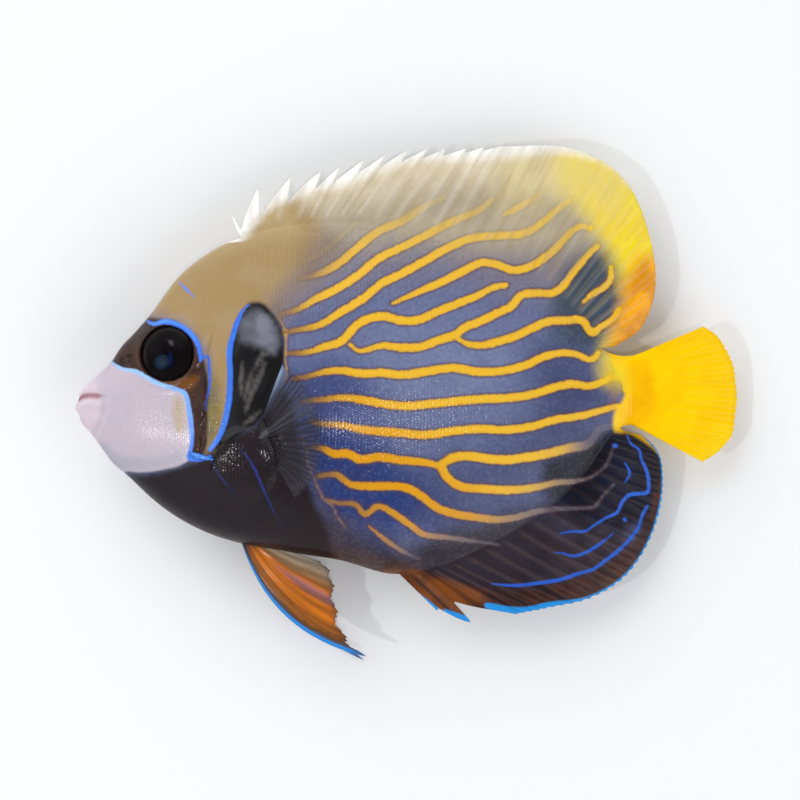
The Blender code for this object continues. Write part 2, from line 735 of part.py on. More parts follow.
def build_fins():
    """Median fins in a spiny and a soft part each, the tail fin and the paired fins."""
    last = len(DORSAL_RAYS) - 1
    soft = list(np.linspace(DORSAL_SPINES[-1], last, 19))
    anal_last = len(ANAL_RAYS) - 1
    anal_soft = list(np.linspace(ANAL_SPINES[-1], anal_last, 19))
    fins = [
        ("dorsal_fin_spiny", DORSAL_RAYS, BACK, 1, DORSAL_SPINES, DORSAL_NOTCHES, FIN_PALE),
        ("dorsal_fin_soft", DORSAL_RAYS, BACK, 1, soft, (), TAIL_YELLOW),
        ("anal_fin_spiny", ANAL_RAYS, BELLY, -1, ANAL_SPINES, ANAL_NOTCHES, FIN_RUST),
        ("anal_fin_soft", ANAL_RAYS, BELLY, -1, anal_soft, (), FIN_DARK),
    ]
    for *shape, coat in fins:
        paint(median_fin(*shape), coat)
    paint(tail_fin(), TAIL_YELLOW)
    paint(pelvic_fin("pelvic_fin_left", 1), FIN_RUST)
    paint(pelvic_fin("pelvic_fin_right", -1), FIN_RUST)
    paint(pectoral_fin_left(), FIN_DARK)
    paint(pectoral_fin_right(), FIN_DARK)


def centre_model():
    """Moves the whole model so that the origin lies on the floor under the middle of its box."""
    made = list(bpy.context.scene.collection.objects)
    points = np.array([v.co for piece in made for v in piece.data.vertices])
    middle = (points.min(axis=0) + points.max(axis=0)) / 2
    floor = points[:, 2].min()
    for piece in made:
        for vertex in piece.data.vertices:
            vertex.co.x -= middle[0]
            vertex.co.y -= middle[1]
            vertex.co.z -= floor


for old in list(bpy.data.objects):
    bpy.data.objects.remove(old)
build_flesh()
build_head_pieces()
build_fins()
centre_model()
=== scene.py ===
# Emperor angelfish, life size: the looks of a still model that lies on its right side.
# The fish is drawn in millimetres: x from the snout to the tail, y from the belly to the
# back, z up from the floor to the left flank, with the tip of the snout at x = 0, y = 0.

import math

import bpy
import numpy as np
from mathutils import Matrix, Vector


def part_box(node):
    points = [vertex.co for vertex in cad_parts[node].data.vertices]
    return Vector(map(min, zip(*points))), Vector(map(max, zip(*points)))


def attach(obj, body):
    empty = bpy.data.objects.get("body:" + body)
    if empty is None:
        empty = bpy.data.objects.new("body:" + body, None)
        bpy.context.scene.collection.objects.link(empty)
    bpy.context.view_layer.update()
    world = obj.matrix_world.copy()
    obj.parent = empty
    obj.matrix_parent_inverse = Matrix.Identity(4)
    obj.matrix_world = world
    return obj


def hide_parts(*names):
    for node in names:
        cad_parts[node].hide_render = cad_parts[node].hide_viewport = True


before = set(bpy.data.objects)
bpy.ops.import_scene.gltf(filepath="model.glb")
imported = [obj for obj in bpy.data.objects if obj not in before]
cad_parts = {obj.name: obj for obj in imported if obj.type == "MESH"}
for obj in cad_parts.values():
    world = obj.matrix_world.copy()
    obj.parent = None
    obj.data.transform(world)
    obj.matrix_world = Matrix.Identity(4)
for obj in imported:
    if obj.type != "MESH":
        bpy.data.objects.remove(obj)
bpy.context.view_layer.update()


# Where the fish lies. The model is cast around a middle plane that stays level over the
# trunk and sinks towards the floor at the tail, as a fish laid on its side does.

MM = 0.001
TOTAL_LENGTH = 124.8
MID_PLANE = 9.9
FLESH_END_X = 103.5
TAIL_SPREAD = (-10.3, 15.5)
DROOP_START_X = 82.0
DROOP_AT_TIP = 4.5

tail_low, tail_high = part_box("tail_fin")
AWAY_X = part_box("tail_base")[1].x / MM - FLESH_END_X
AWAY_Y = (tail_low.y + tail_high.y) / 2 / MM - sum(TAIL_SPREAD) / 2


def smooth(points, at):
    """Value at `at` of the smooth curve through (position, value) points."""
    xs, ys = np.array(points, float).T
    slopes = np.gradient(ys, xs)
    at = np.clip(np.asarray(at, float), xs[0], xs[-1])
    i = np.clip(np.searchsorted(xs, at) - 1, 0, len(xs) - 2)
    span = xs[i + 1] - xs[i]
    t = (at - xs[i]) / span
    rise = ys[i + 1] - ys[i]
    first = slopes[i] * span - rise
    last = rise - slopes[i + 1] * span
    return ys[i] + t * rise + t * (1 - t) * ((1 - t) * first + t * last)


def ramp(value, low, high):
    """Smooth step from 0 at `low` to 1 at `high`; the two may be in either order."""
    t = np.clip((np.asarray(value, float) - low) / (high - low), 0, 1)
    return t * t * (3 - 2 * t)


def middle(x):
    """Height of the middle plane over the floor."""
    reach = np.maximum(0.0, x - DROOP_START_X) / (TOTAL_LENGTH - DROOP_START_X)
    return MID_PLANE - DROOP_AT_TIP * reach * reach


# The cast body. A laterally flattened body between the outlines of back and belly, thickest
# behind the gill cover. The flesh runs out into the roots of the dorsal and anal fins
# without a crease, so body and fins share one rule for the half thickness.

BACK = [
    (0.1, 0.9), (0.5, 2.5), (1.9, 4.3), (3.8, 6.1), (6.4, 8.7), (8.1, 11.3), (10.7, 14.1),
    (13.5, 17.3), (18.8, 24.4), (24.4, 29.0), (34.6, 33.1), (44.0, 34.5), (60.5, 33.8),
    (69.9, 31.6), (79.3, 27.8), (87.8, 22.3), (94.4, 15.6), (98.5, 11.2), (103.5, 9.8),
    (108.5, 11.4),
]
BELLY = [
    (0.1, -0.6), (0.7, -2.4), (2.3, -4.5), (4.1, -6.8), (6.4, -10.0), (9.4, -12.7),
    (15.4, -18.2), (22.9, -22.8), (30.5, -25.4), (39.9, -27.1), (49.3, -28.6),
    (59.6, -31.2), (68.1, -29.6), (75.6, -26.4), (83.1, -22.2), (90.6, -16.6),
    (96.3, -10.2), (100.0, -5.0), (103.5, -3.2), (108.5, -5.2),
]
HALF_WIDTH = [
    (0.1, 1.0), (0.6, 1.9), (2.0, 2.9), (4.4, 3.9), (8.8, 5.4), (16.7, 7.4), (24.4, 9.1),
    (32.0, 10.2), (41.0, 10.5), (51.0, 10.2), (61.0, 9.5), (70.0, 8.4), (80.0, 6.9),
    (90.0, 5.1), (97.0, 3.7), (103.5, 2.6), (106.0, 1.5), (108.5, 0.4),
]
MID_LEVEL = [
    (0.1, 0.2), (6.0, -1.0), (16.0, 0.5), (30.0, 0.0), (45.0, 0.5), (60.0, 1.0),
    (80.0, 2.2), (95.0, 3.0), (108.5, 3.3),
]
SHARPNESS_BACK = [
    (0.0, 0.5), (18.0, 0.52), (30.0, 0.62), (40.0, 0.8), (60.0, 0.9), (108.5, 0.85),
]
SHARPNESS_BELLY = [
    (0.0, 0.5), (35.0, 0.52), (55.0, 0.65), (65.0, 0.85), (75.0, 0.9), (108.5, 0.85),
]
RIM_HALF = 0.8
FIN_ROOT_HALF = 0.65
BLEND = 0.35
DORSAL_ROOT = (31.5, 98.0)
ANAL_ROOT = (61.5, 101.4)


def flesh_half(x, y):
    """Half thickness of the bare flesh: nothing at its outline, less than nothing past it."""
    level, wide = smooth(MID_LEVEL, x), smooth(HALF_WIDTH, x)
    upper = y >= level
    edge = np.where(upper, smooth(BACK, x), smooth(BELLY, x))
    power = np.where(upper, smooth(SHARPNESS_BACK, x), smooth(SHARPNESS_BELLY, x))
    t = (y - level) / (edge - level)
    rim = np.minimum(RIM_HALF, 0.6 * wide)
    inside = np.clip(t, 0, 1)
    half = rim * np.sqrt(1 - inside ** 14) + (wide - rim) * (1 - inside ** 2.2) ** power
    return half - 8.0 * np.maximum(0.0, t - 1)


def united(flesh, fin):
    """Smooth union of two half thicknesses."""
    return BLEND * np.logaddexp(flesh / BLEND, fin / BLEND)


def skin_half(x, y):
    """Half thickness of the body with the roots of the median fins faired in."""
    upper = y >= smooth(MID_LEVEL, x)
    low = np.where(upper, DORSAL_ROOT[0], ANAL_ROOT[0])
    high = np.where(upper, DORSAL_ROOT[1], ANAL_ROOT[1])
    outside = np.maximum(0.0, np.maximum(low - x, x - high))
    return united(flesh_half(x, y), FIN_ROOT_HALF - 0.6 * outside)


# Relief of the head: the rolled lips and the fold behind them, the rim of the eye socket,
# the ridge of the cheek bone, and the free edge of the gill cover over the shoulder.

EYE_X, EYE_Y, EYE_RADIUS = 17.6, 10.1, 5.1
SOCKET_RIM, SOCKET_DEPTH = 0.55, 2.6
LIP_SWELL, LIP_PARTING, LIP_FOLD = 0.45, 0.75, 0.28
GILL_LIFT, GILL_HOLLOW = 0.5, 0.4
MOUND_X, MOUND_Y, MOUND_RISE, CREST_RISE = 30.8, -10.7, 0.7, 0.35
GILL_LINE = [
    (-31.9, 28.7), (-17.6, 26.4), (-11.7, 25.8), (-7.7, 26.7), (-4.3, 28.1), (-0.3, 28.9),
    (3.3, 29.3), (8.8, 29.4), (13.4, 29.9), (16.9, 30.9), (19.9, 32.4), (26.6, 31.8),
    (37.9, 29.5),
]
LIP_LINE = [
    (-14.0, 0.7), (-7.0, 2.3), (-4.2, 4.1), (-1.5, 5.6), (1.5, 6.0), (4.0, 4.9), (6.5, 3.3),
    (14.0, 1.7),
]
MOUTH_LINE = [(-2.8, 0.5), (0.2, 1.4), (1.5, 2.1), (4.3, 2.2), (7.7, 1.4)]
CHEEK_RIDGE = [
    (-9.3, 23.7), (-5.8, 24.1), (0.0, 24.8), (5.9, 25.2), (10.8, 25.5), (14.7, 26.4),
]
NOSTRILS = [(8.9, 8.9), (10.4, 9.6)]
BREAST_CREST = [
    (26.1, -8.1), (28.4, -6.2), (30.9, -4.4), (33.8, -4.1), (36.8, -4.7), (38.4, -7.2),
    (39.2, -10.7),
]


def bump(offset, width):
    return np.exp(-((offset / width) ** 2))


def line_distance(points, x, y):
    """Distance to a chain of points, and the share of its length at the nearest place."""
    points = np.array(points, float)
    lengths = np.hypot(*np.diff(points, axis=0).T)
    starts = np.concatenate([[0.0], np.cumsum(lengths)])
    best = np.full(np.shape(x), 1e9)
    share = np.zeros(np.shape(x))
    for k, (a, b) in enumerate(zip(points, points[1:])):
        run = b - a
        t = np.clip(((x - a[0]) * run[0] + (y - a[1]) * run[1]) / max(run @ run, 1e-9), 0, 1)
        away = np.hypot(x - a[0] - t * run[0], y - a[1] - t * run[1])
        closer = away < best
        best = np.where(closer, away, best)
        share = np.where(closer, (starts[k] + t * lengths[k]) / starts[-1], share)
    return best, share


def gill_share(y):
    """How far the gill cover stands free at a level: 1 at its middle, 0 at its ends."""
    return np.clip(1 - ((y - 3.2) / 15.5) ** 4, 0, 1)


def relief(x, y):
    """What rises from the smooth form of the body, in millimetres."""
    from_eye = np.hypot(x - EYE_X, y - EYE_Y)
    height = SOCKET_RIM * bump(from_eye - EYE_RADIUS - 0.7, 0.9)
    height -= SOCKET_DEPTH * ramp(from_eye, EYE_RADIUS + 0.15, EYE_RADIUS - 0.5)
    behind_lips = x - smooth(LIP_LINE, y)
    from_mouth = y - smooth(MOUTH_LINE, x)
    lips = LIP_SWELL * bump(np.abs(from_mouth) - 1.5, 1.0) - LIP_PARTING * bump(from_mouth, 0.35)
    height += lips / (1 + np.exp(np.clip((behind_lips + 0.3) / 0.4, -30, 30)))
    height -= LIP_FOLD * bump(behind_lips, 0.6)
    past_gill = x - smooth(GILL_LINE, y)
    cover = GILL_LIFT * np.exp(np.minimum(0, past_gill) / 2.5)
    hollow = -GILL_HOLLOW * np.exp(-np.maximum(0, past_gill) / 1.6)
    height += gill_share(y) * np.where(past_gill < 0, cover, hollow) * (1 - bump(past_gill, 0.22))
    ridge_near = ramp(y, -10.5, -8.0) * ramp(y, 15.0, 11.0)
    past_ridge = x - smooth(CHEEK_RIDGE, y)
    height += ridge_near * (0.16 * bump(past_ridge + 0.5, 0.7) - 0.2 * bump(past_ridge - 0.3, 0.35))
    for nose_x, nose_y in NOSTRILS:
        from_pit = np.hypot(x - nose_x, y - nose_y)
        height += 0.14 * bump(from_pit - 0.62, 0.25) - 0.5 * bump(from_pit, 0.34)
    mound = np.hypot((x - MOUND_X) / 7.5, (y - MOUND_Y) / 7.0)
    height += MOUND_RISE * np.clip(1 - mound ** 4, 0, 1)
    from_crest = line_distance(BREAST_CREST, x, y)[0]
    height += CREST_RISE * bump(from_crest, 0.8) * ramp(y, -12.0, -8.0)
    return height


PECTORAL_RAYS = [
    (35.2, -2.3, 39.2, 8.0), (35.7, -3.5, 42.8, 4.9), (36.2, -4.8, 45.3, 0.4),
    (36.5, -6.1, 46.4, -4.4), (36.9, -7.3, 46.1, -9.4), (37.2, -8.6, 44.3, -13.9),
    (37.3, -9.7, 41.5, -16.5),
]
PRESSED_SHARE = 0.86
BED_X, BED_Y, BED_HEIGHT = 40.9, -4.4, 0.95


def body_surface(x, y, side):
    """Height over the floor of the skin of one flank; side is 1 for the left, -1 for the right."""
    level = smooth(MID_LEVEL, x)
    edge = np.where(y >= level, smooth(BACK, x), smooth(BELLY, x))
    t = np.clip((y - level) / (edge - level), 0, 1)
    half = np.maximum(0.02, skin_half(x, y) + (1 - t ** 8) * relief(x, y))
    height = middle(x) + side * half
    if side > 0:
        return height
    from_fan = np.hypot((x - BED_X) / 7.4, (y - BED_Y) / 11.5)
    bed = BED_HEIGHT * ramp(from_fan, 1.06, 0.98)
    return np.maximum(height, bed)


# The markings. The pattern is painted by hand on the cast: every stripe and patch is drawn
# here as a line or an outline in millimetres, and charts hold the distance to each of them.

CHART_STEP = 0.25
CHART_X = np.arange(-4.0, 130.0, CHART_STEP)
CHART_Y = np.arange(-52.0, 55.0, CHART_STEP)
FAR = 9.0
GRID_X, GRID_Y = np.meshgrid(CHART_X, CHART_Y, indexing="ij")
charts = {}


def fair(points, closed=False, each=4):
    """Points along the smooth curve through a chain of points."""
    points = np.array(points, float)
    if closed:
        points = np.vstack([points[-2:], points, points[:3]])
    steps = np.concatenate([[0.0], np.cumsum(np.hypot(*np.diff(points, axis=0).T))])
    fine = np.interp(np.arange(0, (len(points) - 1) * each + 1) / each, np.arange(len(points)), steps)
    curve = np.stack(
        [smooth(np.stack([steps, points[:, k]], axis=1), fine) for k in (0, 1)], axis=1
    )
    return curve[2 * each:-2 * each] if closed else curve


def window(points, margin):
    """Part of the charts that lies within `margin` of some points."""
    low, high = points.min(axis=0) - margin, points.max(axis=0) + margin
    i = np.searchsorted(CHART_X, (low[0], high[0]))
    j = np.searchsorted(CHART_Y, (low[1], high[1]))
    return slice(*i), slice(*j)


def chart_lines(name, lines, extras=(), margin=4.0):
    """Chart of the distance to the nearest edge of some lines, below nothing inside them.

    Each line is (half widths along it, points, one list of values along it for each extra).
    """
    chart = np.full(GRID_X.shape, FAR)
    more = {extra: np.zeros(GRID_X.shape) for extra in extras}
    for widths, points, *values in lines:
        curve = fair(points)
        part = window(curve, margin)
        away, share = line_distance(curve, GRID_X[part], GRID_Y[part])
        away = away - np.interp(share, np.linspace(0, 1, len(widths)), widths)
        closer = away < chart[part]
        chart[part] = np.where(closer, away, chart[part])
        for extra, row in zip(extras, values):
            value = np.interp(share, np.linspace(0, 1, len(row)), row)
            more[extra][part] = np.where(closer, value, more[extra][part])
    charts[name] = chart
    charts.update(more)


def chart_patch(name, outline, margin=6.0):
    """Chart of the distance to the edge of a patch, below nothing inside it."""
    curve = fair(outline, closed=True)
    part = window(curve, margin)
    x, y = GRID_X[part], GRID_Y[part]
    away = line_distance(np.vstack([curve, curve[:1]]), x, y)[0]
    inside = np.zeros(x.shape, bool)
    for (ax, ay), (bx, by) in zip(curve, np.roll(curve, -1, axis=0)):
        if ay != by:
            inside ^= ((ay > y) != (by > y)) & (x < (bx - ax) * (y - ay) / (by - ay) + ax)
    chart = np.full(GRID_X.shape, FAR)
    chart[part] = np.where(inside, -away, away)
    charts[name] = np.minimum(chart, FAR)


def read_chart(name, x, y):
    """Values of a chart at some places."""
    chart = charts[name]
    i = np.clip((x - CHART_X[0]) / CHART_STEP, 0, len(CHART_X) - 1.001)
    j = np.clip((y - CHART_Y[0]) / CHART_STEP, 0, len(CHART_Y) - 1.001)
    a, b = i.astype(int), j.astype(int)
    u, v = i - a, j - b
    return (
        chart[a, b] * (1 - u) * (1 - v) + chart[a + 1, b] * u * (1 - v)
        + chart[a, b + 1] * (1 - u) * v + chart[a + 1, b + 1] * u * v
    )


# Yellow stripes: (half widths, points, browning towards the shoulder, paling at the rear)
STRIPE = (0.35, 0.76, 0.78, 0.78, 0.74, 0.55)
SLIM = (0.3, 0.6, 0.65, 0.6, 0.4)
BROWN = (1, 0.25, 0, 0, 0, 0, 0, 0, 0, 0)
NONE = (0, 0)
chart_lines("stripe", [
    (SLIM, [(42.2, 26.7), (45.5, 28.6), (49.2, 31.8), (52.5, 34.9)], BROWN, (0.3, 0.6, 0.9)),
    (STRIPE, [(42.2, 23.9), (45.6, 24.8), (49.3, 26.9), (52.6, 29.8), (56.4, 33.0), (60.5, 34.9),
              (65.0, 37.7), (68.8, 39.6)], BROWN, (0, 0, 0.2, 0.7)),
    (STRIPE, [(38.5, 17.1), (41.9, 18.2), (45.1, 20.1), (48.9, 22.0), (52.6, 24.4), (56.8, 27.9),
              (60.5, 29.8), (64.5, 31.9), (68.8, 34.3), (72.2, 35.8), (75.6, 37.3), (77.8, 39.2)],
     BROWN, (0, 0, 0, 0.4)),
    (STRIPE, [(38.8, 13.8), (42.4, 14.4), (45.7, 15.2), (49.6, 17.6), (53.7, 20.1), (57.3, 23.1),
              (60.7, 24.8), (64.5, 27.0), (68.7, 29.5), (72.8, 31.5), (76.1, 32.2), (79.9, 32.4),
              (83.7, 32.8), (86.6, 34.3), (89.4, 36.7), (92.4, 39.2)], BROWN, NONE),
    (SLIM, [(79.9, 36.2), (82.7, 37.7), (85.6, 39.4), (86.9, 40.7)], NONE, (0.1, 0.4)),
    (STRIPE, [(59.2, 19.3), (63.8, 21.4), (68.7, 23.6), (72.7, 25.7), (76.0, 27.2), (78.9, 26.8),
              (81.7, 25.8), (84.7, 26.4), (87.5, 28.1), (90.3, 30.5), (92.4, 32.8), (94.3, 34.1),
              (96.7, 33.9)], NONE, NONE),
    (STRIPE, [(40.1, 10.0), (43.4, 10.2), (46.6, 11.2), (49.9, 12.3), (51.3, 13.8), (52.7, 15.3),
              (57.4, 16.9), (60.7, 16.1), (63.8, 16.2), (67.2, 17.7), (71.1, 19.3), (75.0, 20.9),
              (77.8, 22.4), (80.3, 22.9)], BROWN, NONE),
    (STRIPE, [(51.4, 11.7), (52.7, 10.6), (57.4, 11.5), (60.7, 11.1), (64.4, 11.3), (68.0, 12.6),
              (70.5, 13.4), (72.6, 14.9), (75.8, 16.2), (78.7, 17.7), (81.1, 18.8), (83.1, 21.0),
              (86.6, 21.5), (89.4, 21.6), (91.5, 23.3), (92.8, 25.1), (94.8, 27.5), (96.7, 29.6),
              (97.7, 30.5)], NONE, NONE),
    (STRIPE, [(70.5, 13.4), (72.5, 12.0), (75.8, 11.6), (79.0, 12.4), (82.4, 13.5), (85.4, 15.0),
              (88.2, 16.1), (91.4, 16.4), (94.8, 16.4), (96.7, 14.1), (98.2, 15.2), (100.9, 17.1),
              (101.8, 18.6)], NONE, NONE),
    (SLIM, [(95.0, 19.9), (96.7, 21.4), (99.2, 22.9), (100.3, 24.7), (100.3, 26.6)], NONE, NONE),
    (STRIPE, [(41.0, 5.4), (43.4, 5.7), (46.6, 6.6), (49.9, 6.9), (53.8, 6.3), (57.4, 6.5),
              (60.5, 6.1), (65.3, 6.7), (70.1, 7.4), (74.9, 6.7), (79.5, 6.9), (83.4, 7.8),
              (87.2, 9.5), (90.2, 10.2), (93.1, 10.1), (96.5, 9.1), (97.7, 10.3)], BROWN, NONE),
    (STRIPE, [(42.8, 1.3), (45.7, 1.5), (49.0, 1.9), (52.7, 1.7), (57.4, 0.8), (61.7, 0.4),
              (66.3, 0.8), (71.1, 1.3), (75.8, 1.7), (80.4, 1.9), (84.4, 2.4), (89.1, 3.8),
              (92.5, 4.5), (95.9, 4.1), (98.3, 4.9), (100.3, 5.8), (101.6, 5.8), (102.5, 4.7),
              (102.7, 3.2)], BROWN, NONE),
    (STRIPE, [(44.3, -2.5), (47.2, -2.9), (49.9, -3.1), (53.8, -3.9), (57.4, -4.3), (60.5, -4.5),
              (65.3, -4.9), (70.1, -4.2), (74.9, -3.8), (79.5, -4.0), (84.4, -3.5), (89.1, -2.2),
              (94.9, -1.3), (99.0, -0.2), (101.2, 0.4)], BROWN, NONE),
    (STRIPE, [(44.5, -7.1), (46.6, -7.4), (48.4, -8.3), (50.9, -8.3), (53.2, -9.3), (56.9, -8.9),
              (60.5, -9.5), (65.3, -10.0), (68.0, -10.6)], BROWN, NONE),
    ((0.8, 0.85, 0.85, 0.85, 0.5), [(68.0, -10.6), (69.2, -9.6), (72.0, -8.8), (75.8, -9.2),
     (79.6, -9.6), (83.5, -9.2), (88.2, -8.4), (92.2, -7.4), (95.6, -6.7), (96.7, -5.6),
     (97.6, -4.1), (99.4, -3.6), (101.3, -3.2)], NONE, (0, 0, 0, 0, 0.2, 1, 1)),
    ((0.8, 0.8, 0.8, 0.6, 0.25, 0.2), [(68.0, -10.6), (69.2, -12.7), (71.1, -14.2), (75.9, -14.9),
     (80.6, -15.2), (85.5, -14.8), (89.3, -14.0), (94.8, -13.5), (97.1, -12.6), (99.2, -10.9),
     (100.3, -8.5), (100.9, -7.0)], NONE, (0, 0, 0, 0.2, 0.6, 1, 1)),
    ((0.4, 0.75, 0.75, 0.75, 0.6, 0.35, 0.2), [(45.7, -12.4), (49.0, -12.2), (51.3, -13.9),
     (54.6, -14.3), (58.8, -14.3), (61.3, -14.5), (64.4, -16.1), (67.2, -18.3), (70.0, -19.4),
     (74.1, -20.2), (77.4, -20.7), (81.5, -20.6), (85.6, -19.5), (89.8, -19.0), (93.9, -18.8),
     (97.1, -18.6), (98.8, -16.5), (100.9, -14.3)], BROWN, (0, 0, 0, 0.1, 0.6, 1, 1)),
    ((0.3, 0.5, 0.6, 0.55, 0.4, 0.2), [(47.1, -16.9), (49.8, -17.5), (52.3, -17.6), (54.1, -19.5),
     (56.5, -18.0), (59.2, -19.3), (62.2, -21.4), (64.9, -23.4), (67.2, -23.8), (70.0, -24.2),
     (75.5, -25.1), (79.3, -25.7)], (1, 0.5, 0.1, 0, 0), (0, 0, 0.1, 0.7, 1)),
    ((0.2, 0.45, 0.4, 0.15), [(54.8, -21.8), (57.3, -23.9), (59.2, -25.4), (61.3, -26.8),
     (64.1, -28.2)], (0.4, 0.3), (0.1, 0.4, 1)),
    ((0.15, 0.22, 0.2, 0.2, 0.12), [(42.6, -5.4), (43.4, -7.6), (43.7, -9.9), (44.8, -12.8),
     (45.9, -15.4), (46.7, -16.9), (47.9, -17.6), (48.9, -19.7), (50.4, -22.0)],
     (0.8, 0.8), (0.4, 0.4)),
    ((0.1, 0.25, 0.25, 0.1), [(38.0, 16.9), (38.8, 15.6), (39.5, 14.2), (39.7, 12.3),
     (39.5, 10.2), (39.5, 8.4), (39.9, 7.1), (39.7, 4.6)], NONE, (0.35, 0.35)),
], extras=("brown", "pale"))

# Blue lines of the head, the breast and the anal fin: (half widths, points, brightness)
chart_lines("blue", [
    ((0.15, 0.5, 0.5, 0.45, 0.3), [(12.9, 16.5), (14.8, 15.6), (17.0, 16.0), (18.9, 15.6),
     (21.5, 14.2), (23.0, 12.6), (23.8, 10.7), (24.0, 8.8)], (0.6, 0.5)),
    ((0.2, 0.25, 0.2, 0.1), [(24.0, 8.8), (25.0, 9.6), (25.7, 6.3), (25.7, 4.0), (25.0, 1.1),
     (25.0, -0.4)], (0.3, 0.1)),
    ((0.2, 0.35, 0.4, 0.4, 0.45, 0.35, 0.3), [(6.6, 8.6), (8.7, 7.4), (11.9, 6.7), (14.3, 5.4),
     (16.9, 4.2), (19.1, 3.6), (21.2, 2.6), (21.6, 1.1), (22.0, -1.2), (22.3, -4.0),
     (22.1, -7.7), (21.6, -9.0), (23.5, -9.5), (25.9, -8.9)], (1, 0.9, 0.7, 0.5)),
    ((0.15, 0.45, 0.5, 0.45, 0.5, 0.5, 0.4), [(33.1, 19.2), (32.1, 18.4), (30.8, 16.1),
     (30.1, 13.8), (29.4, 11.0), (29.5, 6.3), (29.3, 1.7), (28.9, -0.7), (28.2, -3.5),
     (27.4, -5.4), (25.9, -7.5)], (0.4, 0.5, 0.5, 0.6)),
    ((0.05, 0.25, 0.05), [(19.1, 23.8), (20.8, 22.1), (22.6, 20.4)], (0.6, 0.6)),
    ((0.05, 0.2, 0.2, 0.1, 0.0), [(31.1, -7.1), (32.8, -9.1), (34.2, -11.5), (34.9, -13.3),
     (36.3, -16.7), (37.3, -19.0), (39.3, -22.5)], (0.2, 0.1, 0)),
    ((0.05, 0.12, 0.0), [(25.9, -9.1), (26.7, -11.0), (28.7, -13.9), (30.6, -16.3)], (0.1, 0)),
    ((0.1, 0.3, 0.3, 0.3, 0.3, 0.25), [(77.6, -33.0), (81.8, -33.4), (87.7, -32.8),
     (90.5, -32.4), (93.9, -31.3), (97.1, -30.4), (99.5, -28.7), (102.0, -26.8),
     (104.1, -24.7), (105.7, -22.6), (106.5, -20.1), (107.4, -18.6)], (0.2, 0.2)),
    ((0.05, 0.25, 0.25, 0.05), [(89.4, -27.2), (91.1, -27.3), (93.1, -27.9), (95.6, -27.2),
     (98.0, -25.8), (100.1, -24.2), (101.6, -23.0)], (0.1, 0.1)),
    ((0.1, 0.2, 0.2, 0.3, 0.3, 0.3, 0.2, 0.1), [(90.5, -23.6), (93.1, -23.2), (95.4, -23.2),
     (97.1, -22.1), (99.2, -20.8), (101.6, -19.6), (102.5, -17.7), (103.7, -16.5),
     (105.7, -16.2), (107.4, -16.0), (107.6, -14.1), (107.1, -11.7), (106.1, -9.6),
     (105.7, -7.9), (104.1, -6.8), (103.3, -5.1)], (0.1, 0.3, 0.2)),
    ((0.1, 0.25, 0.1), [(102.9, -14.1), (103.9, -12.4), (103.5, -11.3), (102.9, -10.3)], (0.1, 0.1)),
    ((0.35, 0.35), [(100.9, -7.0), (101.2, -7.1)], (0.2, 0.2)),
    ((0.3, 0.3), [(102.9, -20.9), (103.1, -21.2)], (0.1, 0.1)),
], extras=("bright",))

# Pink line of the mouth
chart_lines("mouth", [((0.12, 0.2, 0.15), MOUTH_LINE[:4])])

# Slits and folds of the bare shoulder: painted shade in the slits, painted highlights along the folds
chart_lines("slit_shade", [
    ((0.1, 0.5, 0.6, 0.15), [(30.8, 11.4), (30.5, 8.0), (30.4, 4.0)]),
    ((0.1, 0.35, 0.3, 0.1), [(38.0, 7.4), (36.5, 3.8), (34.9, 0.4), (33.8, -1.4)]),
])
chart_lines("fold_highlight", [
    ((0.0, 0.3, 0.3, 0.0), [(35.9, 8.3), (34.9, 5.8), (33.5, 2.8), (32.3, -0.6)]),
    ((0.0, 0.25, 0.0), [(33.4, 6.6), (32.7, 3.9), (32.1, 1.5)]),
    ((0.0, 0.25, 0.0), [(37.0, 10.8), (35.2, 9.4), (34.0, 7.4)]),
    ((0.0, 0.2, 0.0), [(31.7, 8.4), (31.5, 5.6), (31.5, 2.6)]),
    ((0.0, 0.25, 0.0), [(34.8, -0.4), (33.6, -1.8), (32.2, -2.8)]),
])

# Margins of the fins: white along the back, blue along the anal fin
chart_lines("white_rim", [
    ((5.6, 5.2, 4.2, 3.0, 2.5, 2.3, 2.1, 1.5, 0.6), [(26.0, 35.0), (32.5, 42.0), (38.9, 44.6),
     (49.1, 46.1), (60.5, 49.3), (78.2, 49.8), (85.5, 50.6), (93.1, 50.2), (98.0, 48.8),
     (102.4, 46.2), (104.5, 43.4)]),
])
chart_lines("blue_rim", [
    ((0.3, 0.5, 0.5), [(63.0, -34.6), (65.5, -36.6), (67.8, -38.6)]),
    ((0.25, 0.6, 0.9), [(69.0, -38.2), (72.0, -39.6), (74.2, -40.6)]),
    ((0.5, 0.9, 0.9, 0.6, 0.55, 0.5, 0.55, 0.5, 0.4, 0.25), [
     (77.0, -37.2), (80.0, -38.0), (83.0, -38.5),
     (88.6, -37.6), (96.3, -36.3), (102.8, -32.6), (107.4, -26.7), (110.0, -20.0),
     (110.7, -13.8), (109.8, -8.5), (106.8, -5.2)]),
])


def oval(x, y, long, tall, turn=0.0):
    """Outline of an oval patch; `turn` is in degrees."""
    turn = math.radians(turn)
    around = [math.radians(a) for a in range(0, 360, 30)]
    return [
        (
            x + long * math.cos(a) * math.cos(turn) - tall * math.sin(a) * math.sin(turn),
            y + long * math.cos(a) * math.sin(turn) + tall * math.sin(a) * math.cos(turn),
        )
        for a in around
    ]
